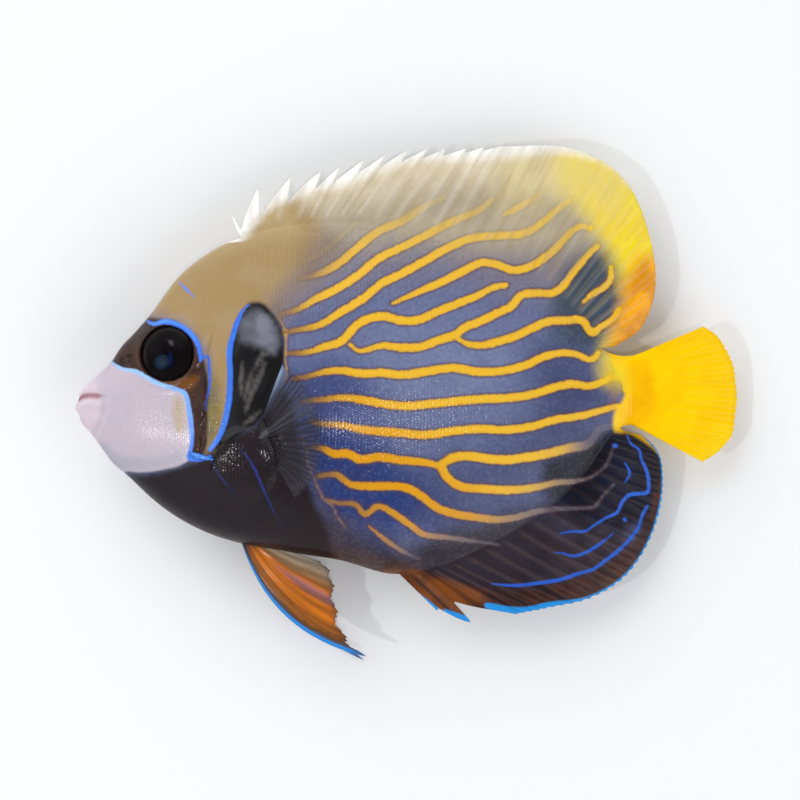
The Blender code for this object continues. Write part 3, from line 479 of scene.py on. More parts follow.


# Patches of ground colour, and of painted sheen on the flank and the shoulder
PATCHES = {
    "muzzle": [
        (-2.4, 1.5), (-0.9, 4.5), (2.7, 7.8), (5.4, 9.4), (6.6, 8.6), (8.7, 7.4), (11.9, 6.7),
        (14.3, 5.4), (16.9, 4.2), (19.1, 3.6), (21.2, 2.6), (21.6, 1.1), (22.0, -1.2),
        (22.3, -4.0), (22.1, -7.7), (21.8, -9.4), (20.2, -10.4), (17.3, -11.2), (14.5, -11.7),
        (11.7, -11.9), (9.4, -11.8), (8.0, -13.0), (4.7, -13.0), (1.7, -7.0), (-1.9, -2.3),
    ],
    "mask": [
        (4.3, 8.9), (5.7, 11.9), (9.1, 15.7), (12.9, 17.0), (15.9, 16.5), (18.9, 16.2),
        (21.5, 14.6), (23.2, 12.6), (24.4, 9.8), (25.2, 6.3), (25.5, 3.0), (25.3, -0.4),
        (25.3, -4.0), (25.0, -7.3), (23.8, -9.5), (22.0, -9.2), (22.5, -4.0), (22.0, 0.6),
        (21.4, 2.4), (17.3, 4.0), (14.3, 5.2), (11.9, 6.5), (8.5, 7.2),
    ],
    "nape": [
        (7.1, 15.7), (12.6, 23.2), (17.9, 28.3), (24.0, 32.5), (29.6, 36.4), (34.7, 37.4),
        (41.7, 38.1), (45.1, 34.3), (43.8, 27.4), (40.3, 22.7), (37.5, 19.0), (35.3, 14.4),
        (31.3, 12.5), (30.5, 6.1), (30.2, 1.5), (29.1, -3.7), (26.1, -8.1), (24.4, -9.1),
        (25.2, -2.2), (25.5, 5.2), (24.4, 10.3), (21.9, 14.0), (17.0, 16.7), (12.9, 16.9),
    ],
    "shoulder": [
        (32.9, 19.3), (35.2, 19.3), (37.1, 17.5), (38.8, 14.7), (39.3, 11.5), (39.3, 7.9),
        (39.0, 5.2), (37.9, 2.6), (36.4, 0.0), (34.3, -2.9), (31.3, -5.1), (28.5, -6.8),
        (26.1, -7.5), (27.4, -5.4), (28.5, -1.8), (29.1, 1.5), (29.3, 6.3), (29.4, 11.0),
        (30.1, 13.8), (31.2, 17.1),
    ],
    "breast": [
        (5.7, -13.2), (14.1, -12.0), (21.9, -9.9), (26.1, -7.8), (28.5, -5.8), (31.3, -4.3),
        (34.6, -2.2), (37.2, 1.1), (39.0, 3.3), (40.6, 1.5), (41.8, -3.1), (42.8, -8.5),
        (43.8, -13.1), (45.4, -18.4), (48.0, -25.5), (48.3, -32.4), (30.6, -29.6),
        (19.3, -25.0), (7.9, -18.4),
    ],
    "belly": [
        (41.7, -28.5), (44.4, -15.9), (46.7, -17.8), (50.4, -20.2), (55.0, -23.0),
        (60.5, -25.0), (66.2, -25.0), (71.7, -24.0), (79.3, -24.0), (86.8, -23.7),
        (96.2, -22.8), (101.8, -21.0), (105.6, -28.5), (90.5, -46.5), (60.5, -43.8), (45.0, -34.9),
    ],
    "navy": [
        (87.5, -9.5), (92.5, -7.6), (98.2, -4.8), (105.5, -1.2), (112.2, -5.9), (113.1, -21.0),
        (109.3, -22.8), (105.6, -23.0), (100.9, -23.0), (95.3, -21.5), (90.0, -18.5),
        (87.0, -14.5),
    ],
    "rust": [
        (58.6, -28.3), (66.2, -31.3), (73.7, -33.5), (77.6, -34.1), (81.8, -34.3), (87.7, -33.8),
        (93.9, -32.3), (99.5, -29.7), (104.4, -25.7), (107.8, -20.1), (109.7, -13.5),
        (114.1, -17.3), (112.2, -38.0), (83.0, -45.5), (60.5, -43.8),
    ],
    "spine_rust": [
        (57.6, -30.4), (66.2, -31.3), (72.8, -33.3), (76.6, -35.2), (76.6, -44.5), (56.7, -41.8),
    ],
    "beige": [
        (31.0, 38.2), (40.0, 37.6), (47.4, 38.6), (54.9, 40.2), (64.3, 41.6), (73.7, 42.2),
        (83.0, 42.8), (90.5, 41.8), (96.2, 40.9), (99.9, 46.5), (105.6, 54.2), (60.5, 56.0),
        (28.6, 43.9),
    ],
    "rear_yellow": [
        (90.5, 49.4), (99.9, 52.3), (115.1, 41.0), (115.1, 12.7), (98.7, 5.1), (98.8, 11.3),
        (102.5, 16.2), (103.3, 20.3), (101.5, 25.8), (98.4, 32.4), (95.2, 37.1), (90.5, 42.8),
    ],
    "rear_orange": [
        (100.4, 11.0), (100.8, 14.7), (102.2, 19.4), (103.0, 24.0), (106.6, 28.8), (112.8, 26.8),
        (114.8, 12.7), (104.0, 9.6),
    ],
    "tail": [
        (100.4, 10.4), (104.0, 10.6), (107.0, 11.8), (112.0, 14.8), (128.0, 20.3),
        (128.0, -13.5), (112.5, -11.0), (107.2, -6.6), (103.6, -4.6), (101.0, -4.4),
        (100.8, -0.4), (102.2, 1.5), (102.7, 4.3), (102.0, 6.8), (100.5, 8.1),
    ],
    "peduncle": oval(100.4, 4.5, 0.9, 4.6),
    "low_blue": oval(78.0, -19.0, 15.0, 4.5, 6.0),
    # The paler milky patch on the middle of the flank is a painted reflection (painted sheen)
    "painted_sheen": oval(68.0, 9.0, 16.0, 9.0, -4.0),
    # Pale grey band on the upper shoulder: a painted reflection (painted sheen)
    "shoulder_painted_sheen": [
        (31.2, 16.4), (34.0, 17.6), (36.9, 15.8), (38.2, 12.6), (37.6, 10.2), (34.6, 11.4),
        (31.6, 12.8),
    ],
    "violet": [
        (38.0, 20.0), (48.0, 21.5), (60.0, 24.5), (72.0, 24.0), (84.0, 21.0), (92.0, 21.0),
        (98.0, 26.0), (96.0, 36.0), (80.0, 38.0), (60.0, 37.0), (42.0, 33.0),
    ],
    "sand": [
        (33.0, 26.0), (41.0, 28.5), (50.0, 30.0), (62.0, 30.4), (74.0, 29.5), (84.0, 29.0),
        (92.0, 29.0), (99.0, 27.5), (108.0, 34.0), (102.0, 50.0), (80.0, 56.0), (50.0, 54.0),
        (30.0, 46.0),
    ],
    "teal": oval(96.0, 20.0, 6.5, 10.5, -22.0),
    "dusk": [
        (86.0, 12.0), (97.0, 9.0), (101.0, 1.0), (98.0, -9.0), (88.0, -13.5), (76.0, -15.5),
        (64.0, -16.5), (60.0, -12.5), (74.0, -9.5), (84.0, -3.5),
    ],
    "front_blue": oval(48.0, -0.5, 9.5, 8.5, -20.0),
    "royal": [
        (43.5, -2.5), (49.0, -3.5), (56.0, -7.0), (62.0, -12.0), (68.0, -17.0), (64.0, -22.0),
        (54.0, -23.0), (46.0, -20.0), (43.0, -10.0),
    ],
    "belly_brown": [
        (30.0, -26.5), (39.0, -25.2), (48.0, -25.5), (56.0, -27.3), (62.0, -29.0), (66.0, -30.5),
        (60.0, -36.0), (40.0, -33.0),
    ],
    "anal_mauve": [
        (64.0, -27.0), (70.0, -23.2), (78.0, -20.6), (86.0, -18.6), (93.0, -17.6), (99.0, -20.0),
        (103.0, -24.0), (100.0, -30.0), (92.0, -34.0), (80.0, -36.5), (68.0, -35.0),
    ],
    "deep_gold": [
        (36.0, 5.0), (48.0, 4.0), (58.0, -1.0), (66.0, -8.0), (78.0, -18.0), (80.0, -26.0),
        (60.0, -30.0), (42.0, -20.0),
    ],
    "straw": [
        (80.0, 38.5), (88.0, 38.5), (96.0, 38.0), (101.0, 36.5), (103.5, 41.5), (98.0, 48.0),
        (88.0, 50.0), (80.0, 47.0),
    ],
    "tail_root": [
        (103.2, 8.2), (105.0, 9.3), (107.0, 9.0), (108.5, 4.0), (107.5, -1.5), (105.0, -3.3),
        (103.0, -3.0), (103.6, 0.5), (104.0, 4.0),
    ],
    "nape_top": [
        (14.0, 19.0), (20.0, 25.0), (27.0, 29.0), (35.0, 31.5), (42.0, 33.0), (40.0, 38.0),
        (26.0, 36.0), (14.0, 27.0),
    ],
    "nape_rear": [
        (36.0, 19.0), (40.0, 24.0), (43.0, 29.0), (47.0, 33.0), (50.0, 30.0), (46.0, 24.0),
        (42.0, 19.5), (38.0, 15.0),
    ],
    "cheek": oval(26.3, -1.5, 1.6, 7.0),
    "breast_brown": [
        (11.0, -15.5), (17.0, -19.0), (24.0, -22.5), (31.0, -24.8), (38.0, -26.0), (38.0, -30.0),
        (24.0, -28.0), (10.0, -20.0),
    ],
    "mask_orange": [
        (16.5, 4.6), (19.5, 3.4), (22.5, 3.6), (23.4, 6.0), (21.5, 5.6), (18.8, 4.8),
    ],
    "muzzle_low": [
        (4.0, -9.5), (6.5, -12.0), (9.4, -11.5), (11.7, -11.6), (14.5, -11.4), (17.3, -10.9),
        (20.2, -10.1), (20.5, -8.2), (16.0, -8.9), (12.0, -9.2), (8.5, -8.8), (5.0, -6.5),
    ],
    "muzzle_gold": oval(19.9, -1.2, 1.2, 3.4, 4.0),
    "lips": [
        (-2.5, 5.5), (2.0, 5.8), (4.4, 4.0), (5.2, 1.4), (4.6, -1.6), (3.2, -4.2), (1.0, -5.8),
        (-2.5, -5.0),
    ],
}
for patch, outline in PATCHES.items():
    chart_patch(patch, outline)


def write_fields(data, fields):
    """Keeps named values, one for each point, on a mesh."""
    for name, values in fields.items():
        made = data.attributes.new(name, "FLOAT", "POINT")
        made.data.foreach_set("value", np.ascontiguousarray(values, np.float32).ravel())


def marked(x, y, right=None):
    """Every chart read at some places. The pattern of the right flank differs a little."""
    if right is not None:
        x = x + right * 0.5 * np.sin(y / 6.0 + 1.0)
        y = y + right * 0.6 * np.sin(x / 9.0)
    return {name: read_chart(name, x, y) for name in charts}


# Paint of the skin. Enamel in thin glazes over a cast: ground colours with a painted sheen first,
# then the yellow stripes with their rusty borders, then the blue lines, all with soft brushed edges.


def colour(code):
    """Linear red, green, blue of a hex colour."""
    parts = [int(code[k:k + 2], 16) / 255 for k in (1, 3, 5)]
    return [c / 12.92 if c <= 0.04045 else ((c + 0.055) / 1.055) ** 2.4 for c in parts] + [1.0]


def new_node(tree, kind, values=None, **settings):
    """Node with its settings and socket values set."""
    node = tree.nodes.new(kind)
    for name, value in settings.items():
        setattr(node, name, value)
    for socket, value in (values or {}).items():
        node.inputs[socket].default_value = value
    return node


def math_node(tree, operation, *values):
    """Output of a maths node, each value a socket or a number."""
    node = new_node(tree, "ShaderNodeMath", operation=operation)
    for k, value in enumerate(values):
        if isinstance(value, (int, float)):
            node.inputs[k].default_value = value
        else:
            tree.links.new(value, node.inputs[k])
    return node.outputs[0]


def product(tree, *values):
    """Product of several sockets and numbers."""
    result = values[0]
    for value in values[1:]:
        result = math_node(tree, "MULTIPLY", result, value)
    return result


def rest(tree, share):
    """What a share leaves of the whole."""
    return math_node(tree, "SUBTRACT", 1.0, share)


def mixed(tree, share, first, second):
    """Output of a colour mix; each colour is a socket or a hex code."""
    node = new_node(tree, "ShaderNodeMix", data_type="RGBA")
    for socket, value in ((0, share), (6, first), (7, second)):
        if isinstance(value, str):
            node.inputs[socket].default_value = colour(value)
        elif isinstance(value, (int, float)):
            node.inputs[socket].default_value = value
        else:
            tree.links.new(value, node.inputs[socket])
    return node.outputs[2]


def washed(tree, tone, code, *shares):
    """A tone with another laid over it, as strong as the product of some shares."""
    return mixed(tree, product(tree, *shares), tone, code)


def field(tree, name):
    """Value of a field that the mesh holds."""
    return new_node(tree, "ShaderNodeAttribute", attribute_name=name).outputs["Fac"]


def uneven(tree, grain, amount, value):
    """A value made uneven by some noise, as a brushed edge is."""
    return math_node(tree, "MULTIPLY_ADD", grain, amount, value)


def noise(tree, per_mm, detail=3.0, rough=0.55, place=None):
    """Noise with about `per_mm` features to the millimetre, centred on 0."""
    if place is None:
        place = new_node(tree, "ShaderNodeTexCoord").outputs["Object"]
        per_mm = per_mm / MM
    node = new_node(
        tree, "ShaderNodeTexNoise", {"Scale": per_mm, "Detail": detail, "Roughness": rough}
    )
    tree.links.new(place, node.inputs["Vector"])
    return math_node(tree, "SUBTRACT", node.outputs["Fac"], 0.5)


def faded(tree, value, full, none):
    """Smooth share: 1 where value is `full`, 0 where it is `none`."""
    node = new_node(
        tree, "ShaderNodeMapRange", {"From Min": none, "From Max": full},
        interpolation_type="SMOOTHSTEP",
    )
    tree.links.new(value, node.inputs["Value"])
    return node.outputs["Result"]


def near(tree, value, target, reach):
    """Smooth share: 1 where value is `target`, 0 from `reach` away."""
    away = math_node(tree, "ABSOLUTE", math_node(tree, "SUBTRACT", value, target))
    return faded(tree, away, 0.0, reach)


def new_group(name, outputs, inputs=()):
    """Shader node group with named inputs and outputs, each (name, kind, default)."""
    tree = bpy.data.node_groups.new(name, "ShaderNodeTree")
    for socket, kind in outputs:
        tree.interface.new_socket(socket, in_out="OUTPUT", socket_type=kind)
    for socket, kind, value in inputs:
        made = tree.interface.new_socket(socket, in_out="INPUT", socket_type=kind)
        made.default_value = value
    return tree, tree.nodes.new("NodeGroupInput"), tree.nodes.new("NodeGroupOutput")


# Glazes from the lowest to the highest: (patch, first tone, second tone, half softness in
# millimetres, unevenness of the edge, strength)
UNDER = [
    # The paler milky patch on the middle of the flank is a painted reflection (painted sheen)
    ("painted_sheen", "#747ea0", "#6c769a", 7.0, 3.0, 0.9),
    ("violet", "#7b727e", "#7a7482", 4.5, 2.0, 0.9),
    ("sand", "#afa28a", "#a89c86", 4.4, 2.0, 0.97),
    ("teal", "#3b4a58", "#34404f", 3.0, 2.0, 0.95),
    ("dusk", "#434b72", "#3c4468", 6.0, 2.5, 0.9),
    ("low_blue", "#39406a", "#40486e", 4.0, 2.0, 0.85),
    ("front_blue", "#3a4577", "#434e80", 5.0, 2.0, 0.9),
    ("royal", "#1f3672", "#24316a", 4.0, 2.0, 0.95),
    ("belly", "#2c2742", "#352a36", 3.5, 2.0, 0.95),
    ("belly_brown", "#3b2822", "#46322c", 1.8, 1.0, 0.95),
    ("anal_mauve", "#241c24", "#2c2430", 2.6, 2.0, 0.9),
    ("navy", "#050718", "#070d28", 2.2, 1.5, 1.0),
    ("rust", "#34160e", "#512813", 0.8, 0.6, 0.95),
    ("spine_rust", "#5c3012", "#7c4212", 0.9, 0.8, 0.95),
]
OVER = [
    ("beige", "#dccfb6", "#d2c4a4", 4.5, 2.5, 0.95),
    ("rear_yellow", "#eed02e", "#f2d81c", 3.0, 2.0, 1.0),
    ("straw", "#d8c684", "#d4c284", 5.0, 2.0, 0.6),
    ("rear_orange", "#f6a806", "#d88a02", 2.2, 2.0, 1.0),
    ("peduncle", "#b5762a", "#a86c2c", 1.2, 0.8, 0.3),
    ("tail", "#f8c400", "#f6cc02", 0.6, 0.6, 1.0),
    ("tail_root", "#f4ac00", "#f7b800", 1.2, 0.8, 0.8),
    ("nape", "#a0834f", "#a4885c", 2.4, 2.0, 0.97),
    ("nape_top", "#b7a27a", "#b29b70", 2.4, 1.5, 0.8),
    ("nape_rear", "#7d6a5c", "#87725f", 3.0, 2.0, 0.75),
    ("cheek", "#7d6f3c", "#6a6040", 1.6, 1.5, 0.85),
    ("breast", "#180c11", "#1d0f12", 1.2, 1.0, 0.98),
    ("breast_brown", "#33211c", "#3c2a26", 1.8, 1.0, 0.8),
    ("shoulder", "#0a090c", "#141317", 0.5, 0.3, 1.0),
    # Pale grey band on the upper shoulder: a painted reflection (painted sheen)
    ("shoulder_painted_sheen", "#7c7e8c", "#5c5e6a", 1.2, 2.4, 0.9),
    ("mask", "#2d1a12", "#3c2216", 0.45, 0.3, 1.0),
    ("mask_orange", "#7a4818", "#68401e", 0.9, 0.8, 0.85),
    ("muzzle", "#c2b5c1", "#bfb3c0", 0.3, 0.2, 1.0),
    ("muzzle_low", "#a0a3b0", "#a8a7b4", 0.9, 0.8, 0.6),
    ("muzzle_gold", "#b4a283", "#b7a78f", 0.9, 0.6, 0.8),
    ("lips", "#d3c3cb", "#cdb9c4", 0.9, 0.5, 0.7),
]


def glaze(tree, below, entry, coarse, fine):
    """One patch painted over the colour below it."""
    patch, first, second, soft, rough, strength = entry
    edge = uneven(tree, coarse, rough, field(tree, patch))
    edge = uneven(tree, fine, 0.5 * rough, edge)
    share = product(tree, faded(tree, edge, -soft, soft), strength)
    tone = mixed(tree, faded(tree, coarse, 0.12, -0.12), first, second)
    return mixed(tree, share, below, tone)


paint, _, paint_out = new_group("angelfish_paint", [("Color", "NodeSocketColor")])
coarse = noise(paint, 0.16, 2.0)
fine = noise(paint, 1.1, 2.0)
tone = mixed(paint, faded(paint, coarse, -0.15, 0.15), "#646c91", "#5b6389")
for entry in UNDER:
    tone = glaze(paint, tone, entry, coarse, fine)

# Each scale of the ground is a shade lighter or darker than its neighbours
fleck = field(paint, "fleck")
tone = washed(paint, tone, "#dfe4ee", faded(paint, fleck, 0.5, 0.0), 0.025)
tone = washed(paint, tone, "#1b1e3c", faded(paint, fleck, -0.5, 0.0), 0.13)

# Stripes: a rusty border, then yellow, paler above and towards the ends
stripe = uneven(paint, fine, 0.5, field(paint, "stripe"))
pale, brown = field(paint, "pale"), field(paint, "brown")
strong = rest(paint, product(paint, pale, 0.75))
above = faded(paint, field(paint, "sand"), -5.0, 4.0)
border = math_node(paint, "SUBTRACT", 0.7, product(paint, above, 0.5))
tone = washed(paint, tone, "#553a40", faded(paint, stripe, 0.05, 0.6), strong, border)
deep = faded(paint, uneven(paint, coarse, 4.0, field(paint, "deep_gold")), -7.0, 7.0)
yellow = mixed(paint, deep, "#e8b62e", "#da980a")
yellow = washed(paint, yellow, "#b9822c", faded(paint, stripe, 0.1, -0.5), 0.5)
yellow = washed(paint, yellow, "#8a6440", faded(paint, brown, 1.0, 0.0))
yellow = washed(paint, yellow, "#c6b272", above, 0.4)
ghost = mixed(paint, above, "#8f8791", "#b9ab7c")
yellow = washed(paint, yellow, ghost, faded(paint, pale, 1.0, 0.0))
tone = washed(paint, tone, yellow, faded(paint, stripe, -0.2, 0.2), strong)

for entry in OVER:
    tone = glaze(paint, tone, entry, coarse, fine)

# Bare shoulder: lighter strokes painted as highlights on the folds, near-black lines as shade in the
# slits
fold_highlight = uneven(paint, fine, 0.8, field(paint, "fold_highlight"))
tone = washed(paint, tone, "#8a8682", faded(paint, fold_highlight, -0.5, 0.7), 0.42)
tone = washed(paint, tone, "#030304", faded(paint, field(paint, "slit_shade"), -0.1, 0.3), 0.9)

# Blue lines, lighter along their middle and faint on the breast
blue = uneven(paint, fine, 0.25, field(paint, "blue"))
bright = field(paint, "bright")
azure = mixed(paint, faded(paint, bright, 0.5, 0.0), "#1c4fc4", "#3f78ee")
azure = washed(paint, azure, "#9ac4f4", faded(paint, bright, 1.0, 0.5))
azure = washed(paint, azure, "#4aa6f6", faded(paint, blue, -0.5, -0.15), 0.5)
faint = rest(paint, product(paint, faded(paint, field(paint, "breast"), -1.8, -0.4), 0.62))
tone = washed(paint, tone, azure, faded(paint, blue, -0.18, 0.2), faint)

# The mouth, and the margins of the fins
mouth = uneven(paint, fine, 0.3, field(paint, "mouth"))
tone = washed(paint, tone, "#a8646a", faded(paint, mouth, -0.1, 0.7), 0.55)
rim = uneven(paint, fine, 1.0, field(paint, "white_rim"))
tone = washed(paint, tone, "#fcfcfa", faded(paint, rim, -1.4, 2.0))
rim = uneven(paint, fine, 0.3, field(paint, "blue_rim"))
tone = washed(paint, tone, "#1f8fdc", faded(paint, rim, -0.15, 0.25))
paint.links.new(tone, paint_out.inputs["Color"])


def new_coat(name, roughness=0.45, coat=0.25, coat_roughness=0.14, specular=0.12):
    """Material with its shader, lacquered like the finished model."""
    made = bpy.data.materials.new(name)
    made.use_nodes = True
    shader = made.node_tree.nodes["Principled BSDF"]
    shader.inputs["Roughness"].default_value = roughness
    shader.inputs["Specular IOR Level"].default_value = specular
    shader.inputs["Coat Weight"].default_value = coat
    shader.inputs["Coat Roughness"].default_value = coat_roughness
    return made, made.node_tree, shader


def use_paint(tree):
    node = tree.nodes.new("ShaderNodeGroup")
    node.node_tree = paint
    return node.outputs["Color"]


def add_bump(tree, shader, height, distance, strength=1.0):
    """Relief in the surface, `distance` millimetres from low to high."""
    node = new_node(tree, "ShaderNodeBump", {"Distance": distance * MM, "Strength": strength})
    tree.links.new(height, node.inputs["Height"])
    tree.links.new(node.outputs["Normal"], shader.inputs["Normal"])


skin_coat, tree, shader = new_coat("fish_skin")
tree.links.new(use_paint(tree), shader.inputs["Base Color"])
add_bump(tree, shader, noise(tree, 3.0, 2.0), 0.03)


# Skin. One seamless cast from the lips to the root of the tail, drawn as rings from back
# to belly, fine over the head, where the lips, sockets and gill covers are modelled.

HALF_STEPS = 64
NOSE_X = 0.1
NOSE_ROUND = 0.5


def new_piece(name, points, faces, coat, fields=None):
    """Mesh piece from points in fish millimetres and faces of three or four corners each."""
    data = bpy.data.meshes.new(name)
    places = (np.asarray(points) + (AWAY_X, AWAY_Y, 0.0)) * MM
    data.from_pydata(places, [], faces)
    data.update()
    data.shade_smooth()
    if fields:
        write_fields(data, fields)
    data.materials.append(coat)
    made = bpy.data.objects.new(name, data)
    bpy.context.scene.collection.objects.link(made)
    return made


def grid_faces(rows, columns, flip=False):
    """Quads between closed loops of points that are numbered loop by loop."""
    i, j = np.meshgrid(np.arange(rows - 1), np.arange(columns), indexing="ij")
    k = (j + 1) % columns
    here, after = i * columns, (i + 1) * columns
    quads = np.stack([here + j, here + k, after + k, after + j], axis=-1).reshape(-1, 4)
    return quads[:, ::-1] if flip else quads


def closed_loops(x, y, upper, lower):
    """Loops of points: out along the upper face, back along the lower one."""
    return np.concatenate([
        np.stack([x, y, upper], axis=-1), np.stack([x, y, lower], axis=-1)[:, ::-1]
    ], axis=1)


ring_x = np.concatenate([
    NOSE_X - NOSE_ROUND * np.cos(np.linspace(0.06, math.pi / 2, 7)),
    np.arange(0.3, 36.0, 0.3), np.arange(36.0, 108.6, 0.6),
])
span = np.linspace(1, -1, 2 * HALF_STEPS + 1)
X, S = np.meshgrid(ring_x, span, indexing="ij")
level = smooth(MID_LEVEL, X)
edge = np.where(S >= 0, smooth(BACK, X), smooth(BELLY, X))
Y = level + (edge - level) * np.sin(np.abs(S) * math.pi / 2)
shrink = np.sqrt(np.clip(1 - (np.minimum(0, X - NOSE_X) / NOSE_ROUND) ** 2, 0.004, 1))
left = body_surface(X, Y, 1)
right = body_surface(X, Y, -1)
# The rear end of the skin closes inside the root of the tail fin
bare = np.maximum(0.02, flesh_half(X, Y))
closing = ramp(X, 104.0, 106.0)
left = left * (1 - closing) + (middle(X) + bare) * closing
right = right * (1 - closing) + (middle(X) - bare) * closing
Y = 0.2 + (Y - 0.2) * shrink
left = middle(X) + (left - middle(X)) * shrink
right = middle(X) + (right - middle(X)) * shrink
points = closed_loops(X, Y, left, right)
around = points.shape[1]
faces = grid_faces(len(ring_x), around).tolist()
faces += [list(range(around)), list(range((len(ring_x) - 1) * around, len(ring_x) * around))[::-1]]
flat = points.reshape(-1, 3)
is_right = np.tile(np.arange(around) >= around // 2, len(ring_x)).astype(float)
skin = new_piece("skin", flat, faces, skin_coat, marked(flat[:, 0], flat[:, 1], is_right))
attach(skin, "root")
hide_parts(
    "head", "upper_lip", "lower_lip", "gill_cover_left", "gill_cover_right", "trunk", "tail_base"
)


# Scales. Small thin scales in staggered rows over the cast, each sunk at its front edge and
# free at its rear edge, finest on the cheeks. Lips, eyes and the bare shoulder have none.

SCALE_OUTLINE = [
    (-0.55, -0.40, -0.05), (0.0, -0.56, 0.015), (0.46, -0.38, 0.045), (0.68, 0.0, 0.055),
    (0.46, 0.38, 0.045), (0.0, 0.56, 0.015), (-0.55, 0.40, -0.05),
]
SCALE_CROWN = (0.08, 0.0, 0.06)
SCALE_FOOT = (0.0, 0.0, -0.12)
SCALE_PATCH = 0.0025
RIM_GAP = 20
HALF_GIRTH = 45.0
HEAD_COLUMNS, HEAD_SCALE = np.arange(1.6, 33.0, 0.42), 0.38
TRUNK_COLUMNS, TRUNK_SCALE = np.arange(25.0, 104.0, 0.62), 0.52


def is_scaled(x, y, on_head):
    """Where scales grow, on the head or behind the gill cover."""
    behind_gill = x - smooth(GILL_LINE, y)
    keep = np.hypot(x - EYE_X, y - EYE_Y) > EYE_RADIUS + 1.3
    keep &= x > smooth(LIP_LINE, y) + 0.8
    keep &= read_chart("shoulder", x, y) > 0.2
    if on_head:
        return keep & (behind_gill < 0.1 - 0.45 * gill_share(y))
    return keep & (behind_gill > 0.1 + 0.5 * gill_share(y))


def scale_coat(name, side, columns, width, on_head, seed):
    """Scales of one flank in one joined mesh."""
    draw = np.random.default_rng(seed)
    length = columns[1] - columns[0]
    girth = np.linspace(-1, 1, 401)
    spots = []
    for number, column in enumerate(columns):
        level = float(smooth(MID_LEVEL, column))
        edge = np.where(girth >= 0, smooth(BACK, column), smooth(BELLY, column))
        y = level + (edge - level) * np.sin(np.abs(girth) * math.pi / 2)
        z = body_surface(np.full_like(y, column), y, side)
        arc = np.concatenate([[0.0], np.cumsum(np.hypot(np.diff(y), np.diff(z)))])
        arc -= arc[200]
        low, high = arc[RIM_GAP], arc[-1 - RIM_GAP]
        rows = (np.arange(int(low / width), int(high / width)) + 0.5 * (number % 2)) * width
        rows = rows[(rows > low) & (rows < high)]
        spots.append(np.stack([np.full_like(rows, column), np.interp(rows, arc, y), rows], axis=1))
    spots = np.concatenate(spots)
    spots[:, 0] += draw.normal(0, 0.05 * length, len(spots))
    spots[:, 1] += draw.normal(0, 0.04 * width, len(spots))
    spots = spots[is_scaled(spots[:, 0], spots[:, 1], on_head)]
    x, y = spots[:, 0], spots[:, 1]
    step = 0.08
    slope_x = (body_surface(x + step, y, side) - body_surface(x - step, y, side)) / (2 * step)
    slope_y = (body_surface(x, y + step, side) - body_surface(x, y - step, side)) / (2 * step)
    rear = np.stack([np.ones_like(x), 0 * x, slope_x], axis=1)
    rear /= np.linalg.norm(rear, axis=1)[:, None]
    up = np.stack([0 * x, np.ones_like(x), slope_y], axis=1)
    up -= rear * np.sum(up * rear, axis=1)[:, None]
    up /= np.linalg.norm(up, axis=1)[:, None]
    out = np.cross(rear, up) * side
    shape = np.array(SCALE_OUTLINE + [SCALE_CROWN, SCALE_FOOT])
    count = len(SCALE_OUTLINE)
    size = draw.uniform(0.92, 1.1, len(x))[:, None, None]
    lean = draw.normal(0, 0.035, (len(x), 2))
    along, across = shape[:, 0] * length, shape[:, 1] * width
    lift = shape[:, 2] * length + lean[:, :1] * along + lean[:, 1:] * across
    lift[:, -1] = SCALE_FOOT[2]
    centre = np.stack([x, y, body_surface(x, y, side)], axis=1)
    points = centre[:, None] + size * (
        rear[:, None] * along[None, :, None] + up[:, None] * across[None, :, None]
    ) + out[:, None] * lift[:, :, None]
    points[..., 2] = np.maximum(points[..., 2], 0.0)
    flat = points.reshape(-1, 3)
    ring = np.arange(count)
    after = (ring + 1) % count
    top = np.stack([ring, after, np.full(count, count)], axis=1)
    under = np.stack([after, ring, np.full(count, count + 1)], axis=1)
    triangles = np.concatenate([top, under])
    triangles = triangles if side > 0 else triangles[:, ::-1]
    faces = (np.arange(len(x))[:, None, None] * len(shape) + triangles[None]).reshape(-1, 3)
    fields = marked(flat[:, 0], flat[:, 1], np.full(len(flat), float(side < 0)))
    fields["fleck"] = np.repeat(draw.uniform(-0.5, 0.5, len(x)), len(shape))
    made = new_piece(name, flat, faces.tolist(), scale_lacquer, fields)
    data = made.data
    # The free edge of a scale is sharp
    ends = np.empty(len(data.edges) * 2, np.int32)
    data.edges.foreach_get("vertices", ends)
    on_rim = (ends.reshape(-1, 2) % len(shape) < count).all(axis=1)
    data.attributes.new("sharp_edge", "BOOLEAN", "EDGE").data.foreach_set("value", on_rim)
    # Bake map: a small patch for each scale, at its place on the unrolled flank
    root_u = (x - columns[0]) / (columns[-1] - columns[0])
    root_v = 0.5 + spots[:, 2] / (2 * HALF_GIRTH)
    place = np.stack([0.01 + 0.98 * root_u, 0.01 + 0.98 * root_v], axis=1)
    map_points = (place[:, None] + shape[None, :, :2] * SCALE_PATCH).reshape(-1, 2)
    corners = np.empty(len(data.loops), np.int32)
    data.loops.foreach_get("vertex_index", corners)
    data.uv_layers.new(name="OFBake").data.foreach_set("uv", map_points[corners].ravel())
    return made


scale_lacquer, tree, shader = new_coat("scale_lacquer", 0.42, 0.28, 0.15, 0.12)
tree.links.new(use_paint(tree), shader.inputs["Base Color"])

for word, side in (("left", 1), ("right", -1)):
    seed = 5 if side > 0 else 6
    head_coat = scale_coat("scales_head_" + word, side, HEAD_COLUMNS, HEAD_SCALE, True, seed)
    trunk_coat = scale_coat(
        "scales_trunk_" + word, side, TRUNK_COLUMNS, TRUNK_SCALE, False, seed + 10
    )
    for coat_piece, slot in ((head_coat, "head_skin"), (trunk_coat, "flank_skin")):
        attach(coat_piece, "root")


# Dorsal and anal fins. Thin cast membranes over spines in front and branched soft rays
# behind. The membrane of the spiny part is cut in behind each spine.

